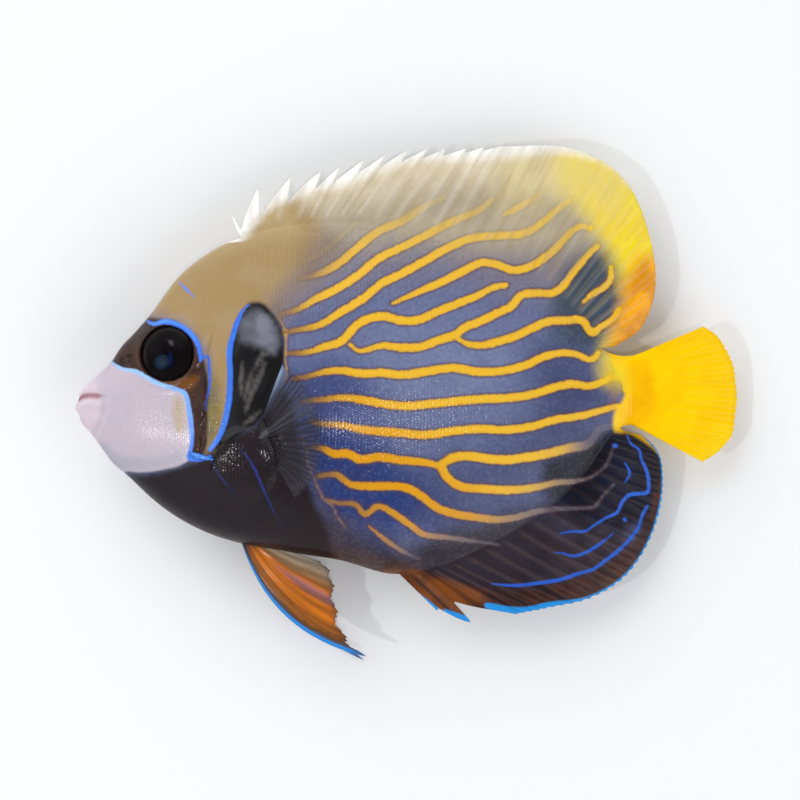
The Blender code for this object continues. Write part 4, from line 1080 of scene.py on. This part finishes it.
DORSAL_RAYS = [
    (30.6, 28.4, 36.8), (33.4, 33.7, 41.4), (37.4, 39.9, 43.6), (41.2, 45.7, 44.6),
    (50.2, 60.2, 48.4), (60.5, 70.8, 49.0), (71.8, 81.9, 49.5), (81.2, 92.9, 49.2),
    (87.8, 102.4, 44.2), (92.5, 107.3, 34.6), (95.9, 109.0, 23.5), (97.6, 106.4, 15.4),
    (98.4, 101.2, 11.6),
]
DORSAL_SPINES = [0.0, 1.0, 2.0, 3.0, 3.28, 3.57, 3.84, 4.14, 4.49, 4.83, 5.2, 5.5, 5.78]
DORSAL_NOTCHES = [0.75, 0.68, 0.54, 0.34, 0.27, 0.22, 0.19, 0.16, 0.12, 0.09, 0.06, 0.04]
ANAL_RAYS = [
    (60.5, 67.5, -38.2), (63.2, 73.9, -40.5), (66.4, 82.4, -38.9), (70.4, 88.6, -37.7),
    (77.5, 96.3, -36.1), (84.0, 102.8, -32.4), (89.7, 107.2, -26.6), (94.4, 109.8, -20.0),
    (97.4, 110.5, -13.8), (99.4, 109.6, -8.6), (100.8, 106.6, -5.4), (101.8, 103.4, -4.6),
]
ANAL_SPINES = [0.0, 1.0, 2.0]
ANAL_NOTCHES = [0.12, 0.42]
NOTCH_PLACE = 0.2
FIN_EDGE_HALF = 0.16
BURIED = 1.8
FIN_ROWS = 44
SOFT_RAYS = 20


def ray_ridge(from_ray, v, soft):
    """Height share of the rays; soft rays branch twice on the way out."""
    fork = 0.22 * ramp(v, 0.4, 0.85) * soft
    twig = 0.1 * ramp(v, 0.75, 1.0) * soft
    away = np.abs(np.abs(np.abs(from_ray) - fork) - twig)
    return bump(away, 0.15 - 0.07 * ramp(v, 0.3, 1.0) * soft)


def between(rays, places):
    """Columns of a table of rays, each read at places that are counted in rays."""
    keys = np.arange(len(rays))
    return [smooth(np.stack([keys, column], 1), places) for column in np.array(rays, float).T]


def median_fin(rays, profile, spines, notches, per_spine, per_ray, serrated, spine_rise, soft_rise):
    """Dorsal or anal fin as two faces with a rounded edge, and what to paint on it."""
    last = len(rays) - 1
    ray_places = np.concatenate([spines, np.linspace(spines[-1], last, SOFT_RAYS + 1)[1:]])
    first_soft = len(spines) - 1
    counts = [per_spine if k < first_soft else per_ray for k in range(len(ray_places) - 1)]
    number = np.concatenate([k + np.arange(n) / n for k, n in enumerate(counts)] + [[len(counts)]])
    place = np.interp(number, np.arange(len(ray_places)), ray_places)
    root_x, tip_x, tip_y = between(rays, place)
    root = np.stack([root_x, smooth(profile, root_x)], 1)
    tip = np.stack([tip_x, tip_y], 1)
    length = np.hypot(*(tip - root).T)
    soft = ramp(number, first_soft - 0.5, first_soft + 0.5)
    part = number % 1
    spine = np.minimum(number.astype(int), len(notches) - 1)
    cut = np.where(part < NOTCH_PLACE, ramp(part, 0.0, NOTCH_PLACE), (1 - part) / (1 - NOTCH_PLACE))
    notch = np.array(notches)[spine] * (number < first_soft) * cut
    from_ray = (number + 0.5) % 1 - 0.5
    ends = serrated * soft * (np.cos(number * 4 * math.pi) - 1)
    reach = 1 - notch + ends
    start = -BURIED / length[:, None]
    v = start + (reach[:, None] - start) * np.linspace(0, 1, FIN_ROWS)[None, :]
    x = root[:, :1] + (tip - root)[:, :1] * v
    y = root[:, 1:] + (tip - root)[:, 1:] * v
    outside = np.clip(v, 0, None)
    u = place[:, None] / last
    membrane = FIN_ROOT_HALF + (FIN_EDGE_HALF - FIN_ROOT_HALF) * np.minimum(1, 1.7 * outside)
    half = united(flesh_half(x, y), membrane)
    ridge = ray_ridge(from_ray[:, None], outside, soft[:, None])
    rise = (spine_rise + (soft_rise - spine_rise) * soft)[:, None]
    half = half + ridge * rise * ramp(outside, 0.0, 0.25) * (1 - 0.5 * outside)
    half = half - 0.35 * rise * ramp(outside, 0.1, 0.3) * (1 - ridge)
    from_edge = (reach[:, None] - v) * length[:, None]
    half = half * np.sqrt(np.clip(from_edge / 0.5, 0.02, 1))
    half = half - 0.04 * ramp(v * length[:, None], -0.1, -0.6)
    wave = -1.6 * outside ** 2 + 0.4 * np.sin(9.0 * u) * outside ** 1.5
    wave = wave + 0.25 * np.sin(23.0 * u + 2.0) * outside ** 3
    centre = middle(x) + wave
    points = closed_loops(x, y, centre + half, centre - half)
    fields = {
        "ray": ridge, "reach": v * length[:, None], "out": outside, "edge": from_edge,
        "number": number[:, None], "soft": soft[:, None],
    }
    return points, fields


def fin_piece(name, points, fields, coat, upward, patterned=True):
    """Closed fin from a grid of loops, one for each column."""
    columns, around = points.shape[:2]
    faces = grid_faces(columns, around, flip=upward).tolist()
    caps = [list(range(around)), list(range((columns - 1) * around, columns * around))]
    faces += [caps[0][::-1], caps[1]] if upward else [caps[0], caps[1][::-1]]
    flat = points.reshape(-1, 3)
    fields = {k: np.broadcast_to(f, (columns, around // 2)) for k, f in fields.items()}
    fields = {k: np.concatenate([f, f[:, ::-1]], axis=1).ravel() for k, f in fields.items()}
    if patterned:
        is_right = np.tile(np.arange(around) >= around // 2, columns).astype(float)
        fields = {**marked(flat[:, 0], flat[:, 1], is_right), **fields}
    return new_piece(name, flat, faces, coat, fields)


# Streaks between the rays, and the joints of the rays, for every fin
web, web_in, web_out = new_group(
    "fin_web",
    [("Streak", "NodeSocketFloat"), ("Joints", "NodeSocketFloat")],
    [("Across", "NodeSocketFloat", 2.0), ("Along", "NodeSocketFloat", 0.08)],
)
spread = web.nodes.new("ShaderNodeCombineXYZ")
web.links.new(product(web, field(web, "number"), web_in.outputs["Across"]), spread.inputs[0])
web.links.new(product(web, field(web, "reach"), web_in.outputs["Along"]), spread.inputs[1])
streak = faded(web, noise(web, 1.0, 2.0, 0.5, spread.outputs[0]), 0.14, -0.08)
web.links.new(streak, web_out.inputs["Streak"])
joints = math_node(web, "SINE", product(web, field(web, "reach"), 12.0))
web.links.new(product(web, joints, field(web, "ray")), web_out.inputs["Joints"])


def use_web(tree, across=2.0, along=0.08):
    node = new_node(tree, "ShaderNodeGroup", node_tree=web)
    node.inputs["Across"].default_value = across
    node.inputs["Along"].default_value = along
    return node.outputs["Streak"], node.outputs["Joints"]


dorsal_coat, tree, shader = new_coat("dorsal_membrane", 0.45, 0.25, 0.14, 0.12)
tone = use_paint(tree)
streak, joints = use_web(tree, 2.0, 0.06)
shown = faded(tree, field(tree, "reach"), 2.5, 0.5)
plain = faded(tree, field(tree, "rear_yellow"), 3.0, -1.0)
tone = washed(tree, tone, "#8a7f66", streak, shown, plain, 0.2)
tone = washed(tree, tone, "#b08a20", streak, shown, 0.1)
whiteness = math_node(tree, "SUBTRACT", 0.17, product(tree, field(tree, "soft"), 0.1))
tone = washed(tree, tone, "#efe9dc", field(tree, "ray"), shown, whiteness)
tree.links.new(tone, shader.inputs["Base Color"])
add_bump(tree, shader, joints, 0.03)
in_rim = faded(tree, field(tree, "white_rim"), -0.5, 1.0)
clear = product(tree, faded(tree, field(tree, "edge"), 0.0, 3.2), in_rim, 0.12)
tree.links.new(rest(tree, clear), shader.inputs["Alpha"])

anal_coat, tree, shader = new_coat("anal_membrane", 0.42, 0.22, 0.13, 0.1)
tone = use_paint(tree)
streak, joints = use_web(tree, 2.2, 0.03)
reach, rust = field(tree, "reach"), field(tree, "rust")
shown = product(tree, faded(tree, reach, 2.0, -1.0), faded(tree, rust, 0.2, 1.6))
tone = washed(tree, tone, "#131018", streak, shown, 0.72)
tone = washed(tree, tone, "#2a1410", streak, faded(tree, rust, 0.5, -0.8), 0.35)
# Rays painted a lighter mauve-brown outside the navy base: a painted highlight along the rays
painted_highlight = product(tree, field(tree, "ray"), faded(tree, field(tree, "navy"), 3.0, 0.0))
tone = washed(tree, tone, "#8b6f66", painted_highlight, faded(tree, reach, 2.0, 0.0), 0.1)
for chart, soft_edge, code in (("blue", 0.2, "#2059c0"), ("blue_rim", 0.35, "#178ede")):
    tone = washed(tree, tone, code, faded(tree, field(tree, chart), -0.18, soft_edge), 0.8)
tree.links.new(tone, shader.inputs["Base Color"])
add_bump(tree, shader, joints, 0.04)

dorsal = fin_piece(
    "dorsal_fin",
    *median_fin(DORSAL_RAYS, BACK, DORSAL_SPINES, DORSAL_NOTCHES, 18, 14, 0.002, 0.11, 0.05),
    dorsal_coat, True,
)
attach(dorsal, "root")
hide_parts("dorsal_fin_spiny", "dorsal_fin_soft")
anal = fin_piece(
    "anal_fin",
    *median_fin(ANAL_RAYS, BELLY, ANAL_SPINES, ANAL_NOTCHES, 18, 14, 0.007, 0.2, 0.14),
    anal_coat, False,
)
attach(anal, "root")
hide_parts("anal_fin_spiny", "anal_fin_soft")


# Tail fin. A short fan of branched rays in a yellow membrane, faired into the tail root.

TAIL_RAYS = [
    (9.5, 118.2, 15.5), (8.3, 120.4, 14.0), (6.8, 122.8, 10.9), (4.9, 124.3, 7.0),
    (3.1, 124.8, 3.0), (1.3, 124.6, -1.3), (-0.5, 123.7, -5.3), (-1.7, 121.6, -7.8),
    (-2.9, 118.0, -10.3),
]
TAIL_COUNT = 15
TAIL_ROOT_X = 103.8
TAIL_PER_RAY = 14

number = np.linspace(0, TAIL_COUNT - 1, (TAIL_COUNT - 1) * TAIL_PER_RAY + 1)
share = number / (TAIL_COUNT - 1) * (len(TAIL_RAYS) - 1)
root_y, tip_x, tip_y = between(TAIL_RAYS, share)
root = np.stack([np.full_like(root_y, TAIL_ROOT_X), root_y], 1)
tip = np.stack([tip_x, tip_y], 1)
length = np.hypot(*(tip - root).T)
start = -3.0 / length[:, None]
ends = 1 + 0.004 * (np.cos(number * 4 * math.pi) - 1) - 0.004 * (1 + np.sin(number * 2.3))
v = start + (ends[:, None] - start) * np.linspace(0, 1, FIN_ROWS)[None, :]
x = root[:, :1] + (tip - root)[:, :1] * v
y = root[:, 1:] + (tip - root)[:, 1:] * v * np.where(v < 0, 0.5, 1.0)
outside = np.clip(v, 0, None)
membrane = 0.9 + (0.2 - 0.9) * np.minimum(1, 1.5 * outside)
half = united(flesh_half(x, y), membrane)
ridge = ray_ridge(((number + 0.5) % 1 - 0.5)[:, None], outside, 1.0)
half = half + ridge * 0.06 * ramp(outside, 0.05, 0.3) * (1 + 0.4 * outside)
half = half - 0.03 * ramp(outside, 0.15, 0.35) * (1 - ridge)
side_edge = np.minimum(number, TAIL_COUNT - 1 - number)[:, None] * length[:, None] * 0.1
from_end = (ends[:, None] - v) * length[:, None]
half = half * np.sqrt(np.clip(np.minimum(from_end, 0.1 + side_edge) / 0.6, 0.02, 1))
half = half - 0.04 * ramp(x, 103.4, 102.4)
centre = middle(x) + 0.5 * np.sin(7.0 * share[:, None] / 8 + 1.0) * outside ** 2
points = closed_loops(x, y, centre + half, centre - half)
fields = {
    "ray": ridge, "reach": v * length[:, None], "out": outside,
    "number": number[:, None],
}
tail_coat, tree, shader = new_coat("tail_membrane", 0.6, 0.0, 0.2, 0.04)
tone = use_paint(tree)
streak, joints = use_web(tree, 2.0, 0.04)
out = field(tree, "out")
tone = washed(tree, tone, "#dc9c06", streak, faded(tree, out, 0.9, 0.1), 0.08)
tone = washed(tree, tone, "#fbe468", field(tree, "ray"), faded(tree, out, 1.0, 0.3), 0.12)
tree.links.new(tone, shader.inputs["Base Color"])
add_bump(tree, shader, joints, 0.015)
tail = fin_piece("tail_fin_membrane", points, fields, tail_coat, True)
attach(tail, "root")
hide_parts("tail_fin")


# Pelvic fins. Two pointed fins below the breast: a stout leading spine with a blue front
# edge, then orange and brown membrane between soft rays, paling to clear at the rear.

PELVIC_RAYS = [
    (30.6, 54.2, -46.8, -4.8), (31.4, 50.6, -43.2, -2.6), (32.2, 48.9, -38.4, -1.4),
    (33.0, 48.2, -33.6, -0.7), (33.8, 47.4, -30.6, -0.2), (34.6, 45.6, -28.9, 0.1),
]
PELVIC_PER_RAY = 18
PELVIC_ROWS = 60


def pelvic_fin(side):
    """Pelvic fin of one side; the right one (side -1) trails lower and lies on the floor."""
    number = np.linspace(0, 5, 5 * PELVIC_PER_RAY + 1)
    rays = np.array(PELVIC_RAYS)
    if side < 0:
        rays = rays + (0.0, -0.6, -1.9, 0.0)
        rays[:, 3] *= 0.75
    root_x, tip_x, tip_y, bow = between(rays, number)
    root = np.stack([root_x, smooth(BELLY, root_x) + 1.2], 1)
    tip = np.stack([tip_x, tip_y], 1)
    length = np.hypot(*(tip - root).T)
    across = np.stack([root[:, 1] - tip[:, 1], tip[:, 0] - root[:, 0]], 1) / length[:, None]
    from_ray = (number + 0.5) % 1 - 0.5
    fray = 0.025 * (1 - np.cos(number * 2 * math.pi)) + 0.01 * (1 - np.cos(number * 8 * math.pi))
    reach = 1 - fray * ramp(number, 0.0, 0.6)
    v = reach[:, None] * np.linspace(0, 1, PELVIC_ROWS)[None, :]
    bend = bow[:, None] * 4 * v * (1 - v)
    x = root[:, :1] + (tip - root)[:, :1] * v + across[:, :1] * bend
    y = root[:, 1:] + (tip - root)[:, 1:] * v + across[:, 1:] * bend
    ridge = ray_ridge(from_ray[:, None], v, ramp(number, 0.3, 1.0)[:, None])
    leading = bump(number, 0.3)[:, None]
    half = 0.5 - 0.36 * np.minimum(1, 1.4 * v)
    half = half + 0.08 * ridge * (1 - 0.4 * v) + 0.3 * leading * (1 - v)
    from_side = np.minimum(number / 0.12 + 0.1, (5 - number) / 0.3 + 0.1)[:, None]
    from_end = (reach[:, None] - v) * length[:, None] / 0.5
    half = half * np.sqrt(np.clip(np.minimum(from_side, from_end), 0.02, 1))
    root_z = MID_PLANE + side * 0.8
    u = number[:, None] / 5
    if side > 0:
        centre = root_z + 0.9 * v - 2.6 * v * v + 0.3 * np.sin(8 * u) * v
        centre = centre + 0.25 * np.sin(17 * u + 1) * v ** 2
    else:
        centre = root_z + (0.5 - root_z) * ramp(v, 0.0, 0.9)
    points = closed_loops(x, y, centre + half, centre - half)
    fields = {
        "ray": ridge, "reach": v * length[:, None], "out": v, "order": u,
        "number": number[:, None],
    }
    return points, fields


# Washes from the leading edge rearwards: (order where full, order where gone, tone)
PELVIC_WASHES = [
    (0.10, 0.02, "#5a3c22"), (0.17, 0.08, "#9c5a1c"), (0.3, 0.18, "#cc6f0e"),
    (0.62, 0.5, "#8b6b4a"), (0.74, 0.64, "#a38f78"), (0.92, 0.74, "#b3a794"),
]
pelvic_coat, tree, shader = new_coat("pelvic_membrane", 0.45, 0.15, 0.15, 0.15)
order, out, ray = (field(tree, n) for n in ("order", "out", "ray"))
streak, joints = use_web(tree, 3.0, 0.05)
wash = uneven(tree, noise(tree, 0.25), 0.1, order)
tone = "#4a5a7c"
for full, none, code in PELVIC_WASHES:
    tone = washed(tree, tone, code, faded(tree, wash, full, none))
violet = product(tree, near(tree, wash, 0.47, 0.07), faded(tree, out, 0.6, 0.2), 0.45)
tone = washed(tree, tone, "#7271a4", violet)
tone = washed(tree, tone, "#4a2c14", streak, 0.4)
tone = washed(tree, tone, "#3c2618", ray, 0.28)
edge = uneven(tree, noise(tree, 1.5), 0.01, order)
tone = washed(tree, tone, "#2b84d4", faded(tree, edge, 0.042, 0.065))
tone = washed(tree, tone, "#3f302c", faded(tree, out, 1.0, 0.88), 0.6)
tone = washed(tree, tone, "#3c2b2c", faded(tree, out, 0.0, 0.16), 0.85)
tree.links.new(tone, shader.inputs["Base Color"])
clear = product(tree, faded(tree, order, 0.95, 0.6), 0.4)
tree.links.new(rest(tree, clear), shader.inputs["Alpha"])
add_bump(tree, shader, joints, 0.02)

for word, side in (("left", 1), ("right", -1)):
    pelvic = fin_piece("pelvic_" + word, *pelvic_fin(side), pelvic_coat, False, patterned=False)
    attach(pelvic, "root")
    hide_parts("pelvic_fin_" + word)


# Pectoral fins. Clear rounded fans with fine dark rays. The left one stands a little off
# the flank; the right one is pressed flat between the flank and the floor.

PECTORAL_PER_RAY = 10
PECTORAL_COUNT = 16
PECTORAL_ROWS = 40


def pectoral_fin(side):
    """Pectoral fan of one side."""
    number = np.linspace(0, PECTORAL_COUNT - 1, (PECTORAL_COUNT - 1) * PECTORAL_PER_RAY + 1)
    share = number / (PECTORAL_COUNT - 1) * 6
    root_x, root_y, tip_x, tip_y = between(PECTORAL_RAYS, share)
    reach = (1 if side > 0 else PRESSED_SHARE) + 0.012 * (np.cos(number * 4 * math.pi) - 1)
    v = -0.12 + (reach[:, None] + 0.12) * np.linspace(0, 1, PECTORAL_ROWS)[None, :]
    x = root_x[:, None] + (tip_x - root_x)[:, None] * v
    y = root_y[:, None] + (tip_y - root_y)[:, None] * v
    ridge = ray_ridge(((number + 0.5) % 1 - 0.5)[:, None], v, 1.0)
    outside = np.clip(v, 0, None)
    half = 0.2 - 0.14 * outside + 0.07 * ridge
    half = half * np.sqrt(np.clip((reach[:, None] - v) * 12 / 0.5, 0.02, 1))
    if side > 0:
        centre = body_surface(x, y, 1) + 0.05 + 0.6 * ramp(v, -0.1, 0.15) + 1.6 * outside ** 2
    else:
        centre = np.full_like(x, 0.4)
    points = closed_loops(x, y, centre + half, centre - half)
    fields = {
        "ray": ridge, "out": outside, "order": share[:, None] / 6,
        "reach": 12 * outside, "number": number[:, None],
    }
    return points, fields


pectoral_coat, tree, shader = new_coat("pectoral_membrane", 0.4, 0.15, 0.12, 0.15)
ray, out, order = (field(tree, n) for n in ("ray", "out", "order"))
streak, joints = use_web(tree, 2.0, 0.1)
tone = mixed(tree, ray, "#4b4954", "#1a181d")
tone = washed(tree, tone, "#1c161a", faded(tree, out, 0.1, 0.3))
tone = washed(tree, tone, "#93a6c6", near(tree, order, 0.01, 0.07), faded(tree, out, 0.9, 0.2))
tone = washed(tree, tone, "#6d6f7c", near(tree, order, 0.3, 0.12), 0.4)
tree.links.new(tone, shader.inputs["Base Color"])
solid = math_node(tree, "MULTIPLY_ADD", ray, 0.42, 0.12)
solid = math_node(tree, "MULTIPLY_ADD", streak, 0.12, solid)
solid = math_node(tree, "MAXIMUM", solid, faded(tree, out, 0.0, 0.1))
solid = math_node(tree, "MAXIMUM", solid, product(tree, near(tree, order, 0.0, 0.05), 0.8))
tree.links.new(product(tree, solid, faded(tree, out, 0.75, 1.15)), shader.inputs["Alpha"])
add_bump(tree, shader, joints, 0.015)

for word, side in (("left", 1), ("right", -1)):
    pectoral = fin_piece(
        "pectoral_" + word, *pectoral_fin(side), pectoral_coat, True, patterned=False
    )
    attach(pectoral, "root")
    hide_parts("pectoral_fin_" + word)


# Eyes. Dark glass eyes: a shallow painted iris with a drop-shaped pupil, a bluish disc painted as
# the reflection of the lens and a painted highlight on the pupil's rim, under a clear domed cornea
# that is set into the socket.

CORNEA_RISE = 1.3


def flank_frame(x, y, side):
    """Point on the flank's smooth form, its outward direction and two directions across it."""
    step = 0.5
    grow_x = float(skin_half(x + step, y) - skin_half(x - step, y)) / (2 * step)
    grow_y = float(skin_half(x, y + step) - skin_half(x, y - step)) / (2 * step)
    out = Vector((-grow_x, -grow_y, side)).normalized()
    point = Vector((x, y, float(middle(x)) + side * float(skin_half(x, y))))
    rear = (Vector((1, 0, 0)) - out * out.x).normalized()
    return point, out, rear, out.cross(rear) * side


def dome(name, side, coat, profile, fields_of):
    """Round piece set on the flank from (distance from its axis, height) points."""
    centre, out, rear, up = flank_frame(EYE_X, EYE_Y, side)
    steps = 96
    angles = np.linspace(0, 2 * math.pi, steps, endpoint=False)
    rows = [
        [
            centre + rear * (away * math.cos(a)) + up * (away * math.sin(a)) + out * height
            for a in angles
        ]
        for away, height in profile
    ]
    points = np.array(rows, float).reshape(-1, 3)
    faces = grid_faces(len(profile), steps, flip=side < 0).tolist()
    last = list(range((len(profile) - 1) * steps, len(profile) * steps))
    faces.append(last if side > 0 else last[::-1])
    away = np.repeat([p[0] for p in profile], steps)
    turn = np.tile(angles, len(profile))
    return new_piece(name, points, faces, coat, fields_of(away, turn))


def iris_fields(away, turn):
    """Distances from the edges of the pupil, the painted lens reflection and the painted highlight on
    the pupil's rim.
    """
    x, y = away * np.cos(turn), away * np.sin(turn)
    lens = np.hypot(x + 1.2, y + 1.5) - 1.5
    top_x, top_y = x + 0.6, y - 0.75
    upper = np.hypot(top_x, top_y) - 1.55
    wedge = np.hypot((x - 0.5) / 0.7, (y + 1.1) / 1.6) - 1.0
    pupil = -0.35 * np.logaddexp(np.logaddexp(-lens / 0.35, -upper / 0.35), -wedge / 0.35)
    painted_highlight = np.abs(upper - 0.2) + 1.1 * np.abs(np.arctan2(top_y, top_x) - 0.8)
    high = y - 0.5 * x
    return {"pupil": pupil, "lens": lens, "wedge": wedge, "painted_highlight": painted_highlight, "away": away, "high": high}


iris_coat, tree, shader = new_coat("iris", 0.7, 0.0, 0.1, 0.0)
away = field(tree, "away")
tone = mixed(tree, faded(tree, noise(tree, 1.2), -0.1, 0.1), "#161214", "#100e10")
arc = product(tree, near(tree, away, 4.5, 0.5), faded(tree, field(tree, "high"), 2.0, -1.0))
tone = washed(tree, tone, "#332f2d", arc, 0.7)
tone = washed(tree, tone, "#0a0b10", faded(tree, away, 5.2, 4.8))
tone = washed(tree, tone, "#050308", faded(tree, field(tree, "pupil"), -0.15, 0.15))
tone = washed(tree, tone, "#121f46", faded(tree, field(tree, "wedge"), -0.5, 0.2), 0.8)
# A bluish disc with a lighter ring at its edge: the lens, painted in as a reflection
tone = washed(tree, tone, "#1f2f42", faded(tree, field(tree, "lens"), -0.3, 0.1), 0.9)
tone = washed(tree, tone, "#3c4c5c", near(tree, field(tree, "lens"), -1.1, 0.5), 0.4)
# A pale grey arc on the upper rim of the pupil: a painted highlight
tone = washed(tree, tone, "#565054", faded(tree, field(tree, "painted_highlight"), 0.15, 0.75))
tree.links.new(tone, shader.inputs["Base Color"])

cornea_coat, tree, shader = new_coat("cornea", 0.03, 0.0, 0.03, 0.2)
shader.inputs["Base Color"].default_value = (0.0, 0.0, 0.0, 1.0)
shader.inputs["Alpha"].default_value = 0.15

for word, side in (("left", 1), ("right", -1)):
    bowl = [(EYE_RADIUS + 0.5, -1.6), (EYE_RADIUS + 0.4, -0.9), (EYE_RADIUS - 0.1, -0.5)]
    bowl += [(r, -0.15 - 0.25 * (1 - (r / 4.9) ** 2)) for r in np.linspace(4.7, 0.05, 32)]
    iris = dome("iris_" + word, side, iris_coat, bowl, iris_fields)
    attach(iris, "root")
    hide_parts("eye_" + word)
    clear = [(EYE_RADIUS + 0.35, -0.7)] + [
        (EYE_RADIUS * math.cos(a), -0.35 + CORNEA_RISE * math.sin(a))
        for a in np.linspace(0.0, 1.56, 24)
    ]
    cornea = dome("cornea_" + word, side, cornea_coat, clear, lambda away, turn: {})
    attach(cornea, "root")


# Cheek spines. One stout blue spine at the lower corner of each cheek, pointing rearwards.

SPINE_FROM, SPINE_TO = (22.0, -8.5), (26.7, -9.3)

spine_coat, tree, shader = new_coat("cheek_spine", 0.3, 0.5, 0.08)
tone = mixed(tree, faded(tree, noise(tree, 0.8), -0.15, 0.15), "#2a66c4", "#4a8ce8")
tree.links.new(tone, shader.inputs["Base Color"])
for word, side in (("left", 1), ("right", -1)):
    first, out, _, _ = flank_frame(*SPINE_FROM, side)
    last, out_end, _, _ = flank_frame(*SPINE_TO, side)
    first, last = first - out * 0.4, last + out_end * 0.8
    run = last - first
    up = run.cross(out).normalized()
    away = up.cross(run).normalized()
    rows = []
    shares = np.linspace(0, 1, 22)
    for s in shares:
        radius = 0.75 * (1 - s ** 1.8) ** 0.6 + 0.01
        bow = 0.25 * math.sin(math.pi * s)
        centre = first + run * s + away * bow
        rows.append([
            centre + away * (radius * math.cos(a)) + up * (radius * 0.8 * math.sin(a))
            for a in np.linspace(0, 2 * math.pi, 20, endpoint=False)
        ])
    points = np.array(rows, float).reshape(-1, 3)
    faces = grid_faces(len(shares), 20).tolist() + [list(range(20))]
    spine = new_piece("cheek_thorn_" + word, points, faces, spine_coat)
    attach(spine, "root")
    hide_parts("cheek_spine_" + word)


# Floor, lights and camera. The model lies on a plain pale table and is seen from straight
# above, as in the photograph, in soft light from large windows on both sides.

IMAGE_CENTRE = (60.54, 1.5)
CAMERA_RISE = 355.0
FLOOR_HALF = 2.0

floor_coat, tree, shader = new_coat("floor", 0.7, 0.0, 0.0, 0.1)
shader.inputs["Base Color"].default_value = colour("#eeeff1")
corners = [(-1, -1), (1, -1), (1, 1), (-1, 1)]
floor_data = bpy.data.meshes.new("floor")
floor_data.from_pydata(
    [(x * FLOOR_HALF, y * FLOOR_HALF, -0.05 * MM) for x, y in corners], [], [(0, 1, 2, 3)]
)
floor_data.materials.append(floor_coat)
floor = bpy.data.objects.new("floor", floor_data)
bpy.context.scene.collection.objects.link(floor)

world = bpy.data.worlds.new("studio")
world.use_nodes = True
background = world.node_tree.nodes["Background"]
background.inputs["Color"].default_value = (0.97, 0.985, 1.0, 1.0)
# The ceiling over the camera is dark; the light comes from the walls
way = new_node(world.node_tree, "ShaderNodeTexCoord")
parts = new_node(world.node_tree, "ShaderNodeSeparateXYZ")
world.node_tree.links.new(way.outputs["Generated"], parts.inputs[0])
walls = faded(world.node_tree, parts.outputs[2], 0.7, 0.92)
strength = math_node(world.node_tree, "MULTIPLY_ADD", walls, 0.72, 0.1)
world.node_tree.links.new(strength, background.inputs["Strength"])
bpy.context.scene.world = world


def soft_light(name, place, size, power):
    """Round soft light that faces the model."""
    data = bpy.data.lights.new(name, "AREA")
    data.shape = "DISK"
    data.size = size
    data.energy = power
    lamp = bpy.data.objects.new(name, data)
    lamp.location = place
    lamp.rotation_mode = "QUATERNION"
    lamp.rotation_quaternion = (-Vector(place)).to_track_quat("-Z", "Y")
    bpy.context.scene.collection.objects.link(lamp)


# Two large lamps and two small ones for highlights: place in metres, width, watts
soft_light("key", (-0.5, 0.62, 0.5), 1.1, 5.0)
soft_light("fill", (0.6, -0.5, 0.5), 1.0, 3.0)
soft_light("sparkle", (0.035, -0.07, 0.75), 0.03, 0.5)
soft_light("glint", (-0.43, -0.12, 0.61), 0.03, 0.8)

camera_data = bpy.data.cameras.new("camera")
camera_data.lens = 85.0
camera_data.sensor_width = 36.0
camera_data.clip_start, camera_data.clip_end = 0.01, 10.0
camera = bpy.data.objects.new("camera", camera_data)
camera.location = (
    (IMAGE_CENTRE[0] + AWAY_X) * MM, (IMAGE_CENTRE[1] + AWAY_Y) * MM,
    (MID_PLANE + CAMERA_RISE) * MM,
)
bpy.context.scene.collection.objects.link(camera)
bpy.context.scene.camera = camera
bpy.context.scene.view_settings.view_transform = "Standard"
